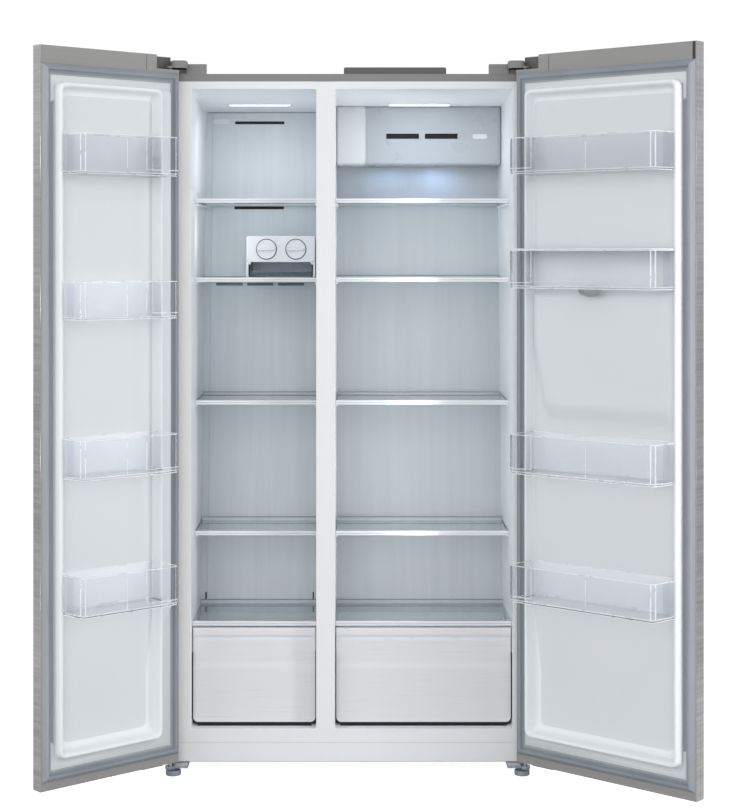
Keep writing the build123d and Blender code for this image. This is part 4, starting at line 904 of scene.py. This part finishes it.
def front_bar():
    """White bar between the compartments, and the kick plate with the joint above it."""
    (left, _, low), (right, _, high) = box_mm("mullion_front")
    bm = bmesh.new()
    block(bm, (left - 0.2, 0.0, low), (right + 0.2, 2.0, high))
    finish_piece("mullion_bar", bm, FLANGE, "mullion_front", replaces=True, bevel=0.0006, segments=2)
    bm = bmesh.new()
    section = [(0.6, 75.6), (0.0, 75.0), (0.0, 29.5), (2.0, 27.5), (14.0, 27.5), (14.0, 30.0),
               (2.5, 30.0), (2.5, 75.6)]
    loft(bm, [[world_point(x, y, z) for y, z in section] for x in (-HALF, HALF)],
         cap_start=True, cap_end=True)
    finish_piece("kick_plate_panel", bm, FLANGE, "kick_plate", replaces=True, smooth=30)
    bm = bmesh.new()
    block(bm, (-HALF, 1.0, 75.4), (HALF, 1.6, 76.1))
    finish_piece("kick_plate_joint", bm, CAP_DARK, "kick_plate")


front_bar()


def slotted_front(bm, x, y_of, z, slots, depth):
    """A front face with rectangular openings (x0, x1, z0, z1) and the walls behind their edges."""
    xs = sorted({x[0], x[1], *[v for s in slots for v in s[:2]]})
    zs = sorted({z[0], z[1], *[v for s in slots for v in s[2:]]})
    put = lambda a, d, c: world_point(a, y_of(c) + d, c)
    cells = {}
    for c in zs:
        for a in xs:
            cells[a, c] = bm.verts.new(put(a, 0, c))
    for a0, a1 in zip(xs, xs[1:]):
        for c0, c1 in zip(zs, zs[1:]):
            if not any(s[0] <= a0 and a1 <= s[1] and s[2] <= c0 and c1 <= s[3] for s in slots):
                bm.faces.new((cells[a0, c0], cells[a1, c0], cells[a1, c1], cells[a0, c1]))
    # the slots' walls and backs take the materials after the face's own: painted shade inside the openings
    for a0, a1, c0, c1 in slots:
        front = [cells[a0, c0], cells[a1, c0], cells[a1, c1], cells[a0, c1]]
        back = [bm.verts.new(put(a, depth, c)) for a, c in ((a0, c0), (a1, c0), (a1, c1), (a0, c1))]
        for i in range(4):
            j = (i + 1) % 4
            bm.faces.new((front[i], front[j], back[j], back[i])).material_index = 1
        bm.faces.new(back).material_index = 1 if c0 > 1230.0 else 2


def freezer_back():
    """Back panel: a raised sheet with rounded edges and five air slots."""
    slots = [(-312, -176, 1655, 1663), (-312, -176, 1419, 1427), (-360, -287, 1210, 1218),
             (-275, -204, 1210, 1218), (-191, -120, 1210, 1218)]
    x = (FREEZER[0] + 18.0, FREEZER[1] - 4.0)
    front = lambda z: back_wall(z) - 1.0
    bm = bmesh.new()
    # the slot walls take the black shade material and the backs of the three low slots the grey rail plastic:
    # painted shade
    slotted_front(bm, x, front, BACK_SHEET, slots, 5.5)
    finish_piece("freezer_back_panel", bm, [BACK_SHADED, SLOT, RAIL_AND_SLOT_SHADE], "evaporator_cover", replaces=True, smooth=30)
    bm = bmesh.new()
    for a in (x[0] - 1.2, x[1] - 0.6):
        reach = -17.0 if a < -300 else 0.6
        loft(bm, [[world_point(a + d, front(z) + e, z) for z in BACK_SHEET]
                  for d, e in ((reach, 3.0), (0.0, 2.4), (0.9, 0.6), (1.8, -0.2))], closed=False)
    finish_piece("freezer_back_edges", bm, BACK_SHADED, "evaporator_cover", smooth=60)
    badge("freezer_badge", (-371.0, -327.0), (1655.5, 1668.5), front, DUCT, "evaporator_cover")
    # the drain slots are dark blocks on the panel: painted shade of their openings
    bm = bmesh.new()
    for a in (FREEZER[0] + 12.0, FREEZER[1] - 15.0):
        block(bm, (a, back_wall(388) - 2.6, 377.0), (a + 3.2, back_wall(388) + 1.0, 396.0))
    finish_piece("freezer_drain_slots", bm, SLOT, "evaporator_cover", bevel=0.0006)


freezer_back()


def air_box():
    """Air box under the fridge ceiling: a part with two slots and a plain part beside it."""
    (_, face, low), _ = box_mm("fridge_duct_box")
    main = face + 3.0
    for label, x, front, slots in (
            ("main", (43.0, FRIDGE[1] - 0.6), main, [(103, 191, 1606, 1620), (207, 295, 1606, 1620)]),
            ("side", (FRIDGE[0] + 0.6, 49.0), face, [])):
        bm = bmesh.new()
        weight = bm.edges.layers.float.new("bevel_weight_edge")
        high = ceiling(front) + 0.5
        slotted_front(bm, x, lambda z: front, (low, high), slots, 14.0)
        ring = [(x[0], low), (x[1], low), (x[1], high), (x[0], high)]
        bm.verts.ensure_lookup_table()
        find = lambda a, c: min(bm.verts, key=lambda v: (v.co - world_point(a, front, c)).length)
        corners = [find(a, c) for a, c in ring]
        back = [bm.verts.new(world_point(a, y, c)) for a, y, c in (
            (x[0], back_wall(low) - 1, low), (x[1], back_wall(low) - 1, low),
            (x[1], 488.0, ceiling(488.0) + 0.5), (x[0], 488.0, ceiling(488.0) + 0.5))]
        edge_rows = []
        for i in range(4):
            j = (i + 1) % 4
            a, b = ring[i], ring[j]
            row = [v for v in bm.verts if abs(v.co.y - front * MM) < 1e-6 and
                   min(a[0], b[0]) - 0.01 <= v.co.x / MM <= max(a[0], b[0]) + 0.01 and
                   min(a[1], b[1]) - 0.01 <= v.co.z / MM <= max(a[1], b[1]) + 0.01]
            row.sort(key=lambda v: (v.co - corners[i].co).length)
            bm.faces.new([*row, back[j], back[i]])
            edge_rows.append(row)
        for row in edge_rows:
            for a, b in zip(row, row[1:]):
                e = bm.edges.get((a, b))
                if e:
                    e[weight] = 1.0
        for i in range(4):
            e = bm.edges.get((corners[i], back[i]))
            if e:
                e[weight] = 1.0
        # the main part takes the darker copy, painted shade, and the part beside it the lighter copy, painted
        # light
        finish_piece(f"air_box_{label}", bm, [AIR_BOX_SHADED if label == "main" else AIR_SIDE_LIT, SLOT],
                     "fridge_duct_box", replaces=True, bevel=0.008, segments=4, smooth=50, weighted=True)
    badge("fridge_badge", (335.0, 375.0), (1606.0, 1619.0), lambda z: main, AIR_SIDE_LIT, "fridge_duct_box")


air_box()


def light_bars():
    """Domed light bar with rounded ends in a shallow bezel under each ceiling."""
    for name, x in (("freezer", FREEZER), ("fridge", FRIDGE)):
        middle = (x[0] + x[1]) / 2
        for label, grow, profile, material in (
                ("bezel", 4.0, ((0.0, 0.2), (0.0, 1.6), (1.2, 2.2), (3.6, 2.2)), TRIM),
                ("lens", 0.0, ((0.0, 0.4), (0.0, 2.2), (1.2, 2.8), (3.4, 3.0)), LAMP)):
            outline = rounded(middle - 82 - grow, middle + 82 + grow, 304.0 - grow, 326.0 + grow, 10.0, 6)
            bm = bmesh.new()
            below = lambda a, y, h: world_point(a, y, ceiling(y) - h)
            loft(bm, tiers(outline, profile, below), cap_end=label == "lens")
            finish_piece(f"{name}_lamp_{label}", bm, material, "lamp_bars", replaces=True, smooth=60)


light_bars()


# ======== shelves, drawers, ice maker ========

TRIM_PROFILE = ((0.0, -10.4), (0.0, -7.2), (0.7, -6.6), (0.7, -5.4), (0.0, -4.8), (0.0, -1.0),
                (1.0, 0.0), (14.0, 0.0), (16.0, -1.2), (16.0, -2.4), (7.0, -2.4), (6.0, -6.8),
                (15.0, -6.8), (16.0, -7.6), (16.0, -10.2), (15.0, -11.0), (0.8, -11.0))


def shelf(node, x, part=None):
    """Glass pane with a fluted front trim, a back trim and side rails; the drawer covers have no rails."""
    fixed = part is not None
    part = part or node
    (_, front, _), (_, _, top) = box_mm(part)
    side = (x[0] + 1.0, x[1] - 1.0)
    back = back_wall(top) - (2.0 if fixed else 8.0)
    # the back trim and back stop take the darker back-wall material: painted shade
    wall_shade = BACK_SHADED if x == FREEZER else FRIDGE_BACK_SHADED
    bm = bmesh.new()
    loft(bm, [[world_point(a, front + y, top + h) for y, h in TRIM_PROFILE] for a in side],
         cap_start=True, cap_end=True)
    finish_piece(f"{node}_front_trim", bm, TRIM, part, smooth=35)
    bm = bmesh.new()
    block(bm, (side[0], front + 0.4, top - 7.6), (side[1], front + 1.4, top - 4.4))
    finish_piece(f"{node}_trim_groove", bm, GROOVE, part, bevel=0.0002)
    bm = bmesh.new()
    block(bm, (side[0], back - 8, top - 9.0), (side[1], back, top - 1.6))
    finish_piece(f"{node}_back_trim", bm, wall_shade, part, bevel=0.0012)
    bm = bmesh.new()
    stop = 0.0 if node == "freezer_shelf_2" else 8.0 if top < 600.0 else 4.0
    block(bm, (side[0], back - 9, top + stop - 2.8), (side[1], back - 8, top + stop - 1.0))
    finish_piece(f"{node}_back_edge", bm, RAIL_AND_SLOT_SHADE, part, bevel=0.0003)
    bm = bmesh.new()
    block(bm, (side[0], back - 8, top - 2.0), (side[1], back - 6, top + stop - 1.0))
    finish_piece(f"{node}_back_stop", bm, wall_shade, part, bevel=0.0003)
    if not fixed:
        bm = bmesh.new()
        for a, b in ((side[0], side[0] + 3), (side[1] - 3, side[1])):
            block(bm, (a, front + 10, top - 6.8), (b, back - 10, top - 1.6))
        finish_piece(f"{node}_side_rails", bm, RAIL_AND_SLOT_SHADE, part, bevel=0.001)
    bm = bmesh.new()
    block(bm, (side[0], front + 7.0, top - 6.6), (side[1], back - 4, top - 2.6))
    finish_piece(f"{node}_pane", bm, GLASS, part, replaces=True, bevel=0.0005, segments=2)


for name, x in (("freezer", FREEZER), ("fridge", FRIDGE)):
    for i in range(4):
        shelf(f"{name}_shelf_{i + 1}", x)
    shelf(f"{name}_cover", x, "drawer_covers")


def drawer(node, x):
    """Drawer with a folded handle lip and a front that dishes in above its middle."""
    a, b = x[0] + 2.6, x[1] - 2.6
    (_, y0, low), (_, depth, high) = box_mm(node)
    lip, corner = 21.0, 13.0
    # front panel, bowed in between the lip and the middle
    bm = bmesh.new()
    grid = []
    top = high - lip
    columns = 30
    for z in [low + h for h in (0.0, 0.4, 1.0, 1.8, 3.0, 4.5, 6.5, 9.0, corner)] + \
            [low + corner + (top - low - corner) * j / 24 for j in range(1, 25)]:
        dish = 3.0 * ease((z - 257.0) / 9.0) + 1.2 * ease((z - 270.0) / 64.0)
        rise = corner - min(corner, z - low)
        cut = corner - (corner ** 2 - rise ** 2) ** 0.5
        grid.append([bm.verts.new(world_point(a + cut + (b - a - 2 * cut) * i / columns, y0 + 0.4 + dish, z))
                     for i in range(columns + 1)])
    for r, q in zip(grid, grid[1:]):
        for i in range(columns):
            bm.faces.new((r[i], r[i + 1], q[i + 1], q[i]))
    edge = [grid[0][i] for i in range(columns + 1)] + [r[-1] for r in grid[1:]] + \
           [grid[-1][i] for i in range(columns - 1, -1, -1)] + [r[0] for r in grid[-2:0:-1]]
    inner = [bm.verts.new(Vector((v.co.x, (y0 + 6.0) * MM, v.co.z))) for v in edge]
    for i in range(len(edge)):
        j = (i + 1) % len(edge)
        bm.faces.new((edge[i], edge[j], inner[j], inner[i]))
    bm.faces.new(inner)
    finish_piece(f"{node}_front", bm, DRAWER, node, replaces=True, smooth=30, bevel=0.0)
    # handle lip
    bm = bmesh.new()
    profile = [(1.4, top - 1.0), (0.4, top + 0.8), (0.0, top + 3.0), (0.0, high - 2.4),
               (1.2, high - 0.5), (3.0, high), (18.0, high), (18.0, high - 3.0), (8.0, high - 3.0),
               (6.5, high - 4.5), (6.5, top - 1.0)]
    loft(bm, [[world_point(p, y0 + y, z) for y, z in profile] for p in (a, b)],
         cap_start=True, cap_end=True)
    finish_piece(f"{node}_lip", bm, DRAWER, node, smooth=35)
    # tub
    bm = bmesh.new()
    outline = rounded(a + 5, b - 5, y0 + 4.5, depth, 8.0, 4)
    loft(bm, tiers(outline, (
        (8.0, low), (2.0, low + 2.0), (0.0, low + 8.0), (0.0, high - 10.0), (-1.5, high - 9.0),
        (-1.5, high - 8.0), (2.5, high - 8.0), (2.5, low + 8.0), (8.0, low + 2.6))),
         cap_start=True, cap_end=True)
    finish_piece(f"{node}_tub", bm, DUCT, node, smooth=50)
    # painted shade: a dark rim behind the lower and side edges of the front, for the shade in the gaps around
    # it
    bm = bmesh.new()
    shade_rim = rounded(a - 1.6, b + 1.6, low - 8.0, high - 60.0, (1, 1, 17, 17), 6)
    loft(bm, tiers(shade_rim, ((2.0, y0 + 6.2), (0.0, y0 + 6.6), (0.0, y0 + 8.4), (8.0, y0 + 8.8)), upright),
         cap_start=True, cap_end=True)
    finish_piece(f"{node}_seal", bm, SLOT, node, smooth=40)
    # dark strips on the compartment's side walls and floor around the drawer's front
    bm = bmesh.new()
    for p, q in ((x[0] - 0.3, x[0] + 0.5), (x[1] - 0.5, x[1] + 0.3)):
        block(bm, (p, 22.0, low + 10.0), (q, y0 + 6.0, high - 62.0))
    block(bm, (x[0] + 12.0, y0 - 1.0, FLOOR - 0.2), (x[1] - 12.0, y0 + 9.0, FLOOR + 0.2))
    finish_piece(f"{node}_shadow_strip", bm, SLOT, f"{node.split('_')[0]}_liner", bevel=0.0001, segments=1)


drawer("freezer_drawer", FREEZER)
drawer("fridge_drawer", FRIDGE)


def ice_maker():
    """Hood with two round windows for the twist knobs, guide cheeks and the smoky ice bin under it."""
    x, y, z = zip(*box_mm("ice_maker_housing"))
    split, r = 1276.0, 26.0        # the hood's lower edge, and the radius of its two windows
    trays = [box_mm(f"ice_tray_{side}") for side in ("left", "right")]
    knobs = [(lo[0] + hi[0]) / 2 for lo, hi in trays]
    height = (trays[0][0][2] + trays[0][1][2]) / 2
    bm = bmesh.new()
    # front plate with two holes, made as two panels that each bridge a hole to its own frame
    steps = 32
    seam = (knobs[0] + knobs[1]) / 2
    for c, (a, b) in zip(knobs, ((x[0] + 4, seam), (seam, x[1] - 4))):
        frame_points, hole = [], []
        for i in range(steps):
            t = 2 * pi * i / steps
            d = (cos(t), sin(t))
            reach = min((b - c if d[0] > 0 else c - a) / max(abs(d[0]), 1e-6),
                        (z[1] - 4 - height if d[1] > 0 else height - split) / max(abs(d[1]), 1e-6))
            frame_points.append((c + reach * d[0], height + reach * d[1]))
            hole.append((c + (r + 1.2) * d[0], height + (r + 1.2) * d[1]))
        made = loft(bm, [[world_point(p, y[0] + d, q) for p, q in row]
                         for row, d in ((frame_points, 0.0), (hole, 0.0), (hole, 3.0))])
        for p, q in ((a, z[1] - 4), (b, z[1] - 4), (b, split), (a, split)):
            corner = bm.verts.new(world_point(p, y[0], q))
            near = sorted(made[0], key=lambda v: (v.co - corner.co).length)[:2]
            bm.faces.new((corner, *near))
    finish_piece("ice_maker_face", bm, DUCT, "ice_maker_housing", smooth=30)
    bm = bmesh.new()
    hood = [(x[0], split), (x[0], z[1] - 4), (x[0] + 1.2, z[1] - 1.2), (x[0] + 4, z[1]), (x[1] - 4, z[1]),
            (x[1] - 1.2, z[1] - 1.2), (x[1], z[1] - 4), (x[1], split)]
    loft(bm, [[world_point(p, q, c) for p, c in (inset_polygon(hood, i) if i else hood)] for q, i in (
        (y[0], 4.0), (y[0] - 0.01, 3.6), (y[0] + 1.0, 1.0), (y[0] + 3.6, 0.0), (y[1], 0.0))], closed=False)
    finish_piece("ice_maker_hood", bm, DUCT, "ice_maker_housing", replaces=True, smooth=50)
    bm = bmesh.new()
    for a, b in ((x[0], x[0] + 5.6), (x[1] - 5.6, x[1])):
        block(bm, (a, y[0] - 1.0, z[0] - 3.0), (b, y[1], split + 1))
    block(bm, (x[0] + 3, y[0] + 2, split - 0.6), (x[1] - 3, y[1], split + 1.6))
    for a, b in ((x[0] + 3, x[0] + 12), (x[1] - 12, x[1] - 3)):
        block(bm, (a, y[0], split - 7.0), (b, y[0] + 4.0, split))
    block(bm, (x[0], y[1] - 3, z[0] + 0.6), (x[1], y[1], z[1] - 2))
    finish_piece("ice_maker_cheeks", bm, DUCT, "ice_maker_housing", bevel=0.0008, segments=2)
    for side, c in zip(("left", "right"), knobs):
        node = f"ice_tray_{side}"
        bm = bmesh.new()
        loft(bm, disc(upright, (c, height), (
            (25.0, 158.0), (25.0, 145.0), (24.6, 144.2), (23.6, 144.0), (22.8, 144.6), (21.8, 145.0),
            (12.0, 145.4))), cap_start=True, cap_end=True)
        finish_piece(f"{node}_knob", bm, DUCT, node, replaces=True, smooth=40)
        # painted shade: a dark ring behind the gap round the knob
        bm = bmesh.new()
        loft(bm, disc(upright, (c, height), ((24.6, 152.0), (24.6, 150.6), (27.0, 150.6), (27.0, 152.0))))
        finish_piece(f"{node}_gap", bm, SLOT, "ice_maker_housing", smooth=40)
        bm = bmesh.new()
        bar = rounded(c - 21.5, c + 21.5, height - 4.2, height + 4.2, (1.5, 1.5, 3.8, 3.8), 5)
        loft(bm, tiers(bar, ((0.0, 146.0), (0.0, 139.0), (0.6, 137.0), (1.6, 135.6)), upright), cap_end=True)
        finish_piece(f"{node}_grip", bm, DUCT, node, smooth=40)
        bm = bmesh.new()
        block(bm, (c - 23, 158.0, height - 12), (c + 23, 322.0, height - 9.5))
        for a in (c - 23, c - 1, c + 21):
            block(bm, (a, 158.0, height - 12), (a + 2, 322.0, height + 12))
        for k in range(6):
            block(bm, (c - 23, 157.0 + k * 32.6, height - 12), (c + 23, 159.0 + k * 32.6, height + 12))
        finish_piece(f"{node}_cups", bm, LID, node, bevel=0.0008, segments=2)
    bm = bmesh.new()
    low, high = 1236.6, split - 2.2
    outline = rounded(x[0] + 6.2, x[1] - 6.2, y[0] - 2.0, y[1] - 8.0, (3, 3, 6, 6), 5)
    loft(bm, tiers(outline, (
        (5.0, low), (1.0, low + 1.4), (0.0, low + 5.0), (0.0, high - 3), (0.6, high), (2.2, high),
        (2.6, high - 2), (2.6, low + 5.0), (5.0, low + 2.6))), cap_start=True, cap_end=True)
    finish_piece("ice_bin_tub", bm, SMOKE, "ice_bin", replaces=True, smooth=45)
    bm = bmesh.new()
    for a in (x[0] + 34, x[0] + 58, x[1] - 58, x[1] - 34):
        block(bm, (a, y[0] - 1.9, low + 5), (a + 1.2, y[0] - 0.6, high - 5))
    finish_piece("ice_bin_ribs", bm, SMOKE, "ice_bin", bevel=0.0004, segments=2)


ice_maker()


# ======== top, feet ========

ROOF = 1746.2            # just above the steel top


def covers():
    """Hinge covers and the control cover on the cabinet's top, with softened edges."""
    for side, label in ((-1, "left"), (1, "right")):
        span = lambda s0, s1: sorted((side * (455.0 - s0), side * (455.0 - s1)))
        pull = lambda p, q: p + side * 10.0 * (q - 1.5) / 110.0 if abs(p) < 440.0 else p
        bm = bmesh.new()
        outline = [(pull(p, q), q) for p, q in rounded(*span(15.0, 103.0), 1.5, 112.0, (6, 6, 2, 2), 5)]
        loft(bm, tiers(outline, ((0.0, 1762.2), (0.0, 1768.0), (0.9, 1770.2), (3.0, 1771.0))),
             cap_start=True, cap_end=True)
        skirt = [(pull(p, q), q) for p, q in rounded(*span(50.0, 103.0), 1.5, 112.0, 4.0, 4)]
        loft(bm, tiers(skirt, ((0.0, ROOF), (0.0, 1762.4))), cap_start=True)
        finish_piece(f"hinge_cover_{label}", bm, HINGE_COVER, "top_covers", replaces=True, smooth=40)
        bm = bmesh.new()
        corners = (3, 3, 14, 10) if side < 0 else (3, 3, 10, 14)
        nose = rounded(*span(15.0, 56.0), -38.0, 4.0, corners, 7)
        loft(bm, tiers(nose, ((1.0, 1757.0), (0.0, 1757.8), (0.0, 1773.4), (0.8, 1775.2), (2.4, 1776.0))),
             cap_start=True, cap_end=True)
        finish_piece(f"hinge_nose_{label}", bm, HINGE_COVER, "top_covers", smooth=40)
    bm = bmesh.new()
    outline = rounded(-10.0, 250.0, 70.0, 230.0, 5.0, 5)
    loft(bm, tiers(outline, ((0.0, ROOF), (0.0, 1766.5), (1.0, 1769.0), (3.4, 1770.0))),
         cap_start=True, cap_end=True)
    finish_piece("control_cover", bm, COVER, "top_covers", smooth=40)
    bm = bmesh.new()
    for x in (-1.5, 241.5):
        loft(bm, disc(world_point, (x, 150.0), ((3.2, 1769.9), (3.2, 1771.0), (2.2, 1771.6))), cap_end=True)
    finish_piece("control_cover_screws", bm, ZINC, "top_covers", smooth=40)


covers()


def feet():
    """Knurled levelling feet with a chamfered base and a threaded stud."""
    for side, label in ((-1, "left"), (1, "right")):
        cx, cy = side * 434.0, -15.0
        bm = bmesh.new()
        steps = 72        # the knurl takes every third point in
        rows = []
        for r, z, cut in ((16.5, 0.0, 0.0), (18.0, 0.6, 0.0), (18.9, 2.2, 0.0), (19.0, 3.2, 0.4),
                          (19.0, 4.0, 1.0), (19.0, 11.4, 1.0), (18.2, 12.6, 0.7), (16.0, 13.0, 0.0)):
            radii = [r - (cut if i % 3 == 0 else 0.0) for i in range(steps)]
            rows.append([world_point(cx + q * cos(2 * pi * i / steps), cy + q * sin(2 * pi * i / steps), z)
                         for i, q in enumerate(radii)])
        loft(bm, rows, cap_start=True, cap_end=True)
        thread = []
        for k in range(15):        # turns of the thread
            z = 13.0 + k * 1.45
            thread += [(4.2, z), (5.0, z + 0.7)]
        loft(bm, disc(world_point, (cx, cy), thread + [(4.2, 34.0)], 24), cap_end=True)
        finish_piece(f"foot_{label}_screw", bm, FOOT, f"foot_{label}", replaces=True, smooth=40)


feet()


def base():
    """Floor pan with its folded front and the two rear rails that hold the roller axle."""
    bm = bmesh.new()
    half = HALF - 1.6
    block(bm, (-half, 30, 44), (half, 581, 46))
    block(bm, (-half, 16, 30.6), (half, 18, 76))
    block(bm, (-half, 16, 44), (half, 31, 46))
    block(bm, (-half, 343, 44), (half, 345, 76))
    for a, b in ((-385, -382), (382, 385)):
        block(bm, (a, 420, 14), (b, 575, 45))
        block(bm, (a, 120, 34), (b, 421, 45))
    finish_piece("base_pan", bm, GALVANISED, "base_frame", replaces=True, bevel=0.0006, segments=2)


base()


# ======== inner lamps ========

COOL = (0.93, 0.97, 1.0)
for name, x in (("freezer", FREEZER), ("fridge", FRIDGE)):
    middle = (x[0] + x[1]) / 2 * MM
    area_light(f"{name}_lamp_glow", (middle, 0.20, ceiling(315.0) * MM - 0.03), (middle, 0.30, 0.9),
               (0.2, 0.06), 0.20, COOL, seen=False)
    area_light(f"{name}_ceiling_glow", (middle, 0.17, 1.46), (middle, 0.20, 1.7), (0.26, 0.2),
               0.135 if name == "freezer" else 0.21, COOL, seen=False)
for x, power in ((0.11, 0.036), (0.24, 0.055)):
    area_light("air_box_glow", (x, 0.42, 1.530), (x, 0.45, 1.2), (0.09, 0.03), power,
               (0.40, 0.62, 1.0), seen=False)
for x, target, width, power in ((-0.34, -0.30, 0.06, 0.06), (0.19, 0.19, 0.30, 0.13)):
    area_light("second_shelf_glow", (x, 0.10, 1.34), (target, 0.45, 1.34), (width, 0.1), power, seen=False)
for middle, reach, power in ((0.19, -0.2, 0.85), (0.19, 0.2, 0.14), (-0.235, -0.15, 0.08)):
    area_light("wall_glow", (middle, 0.05, 0.98), (middle + reach, 0.24, 0.98), (0.05, 1.15), power,
               seen=False)
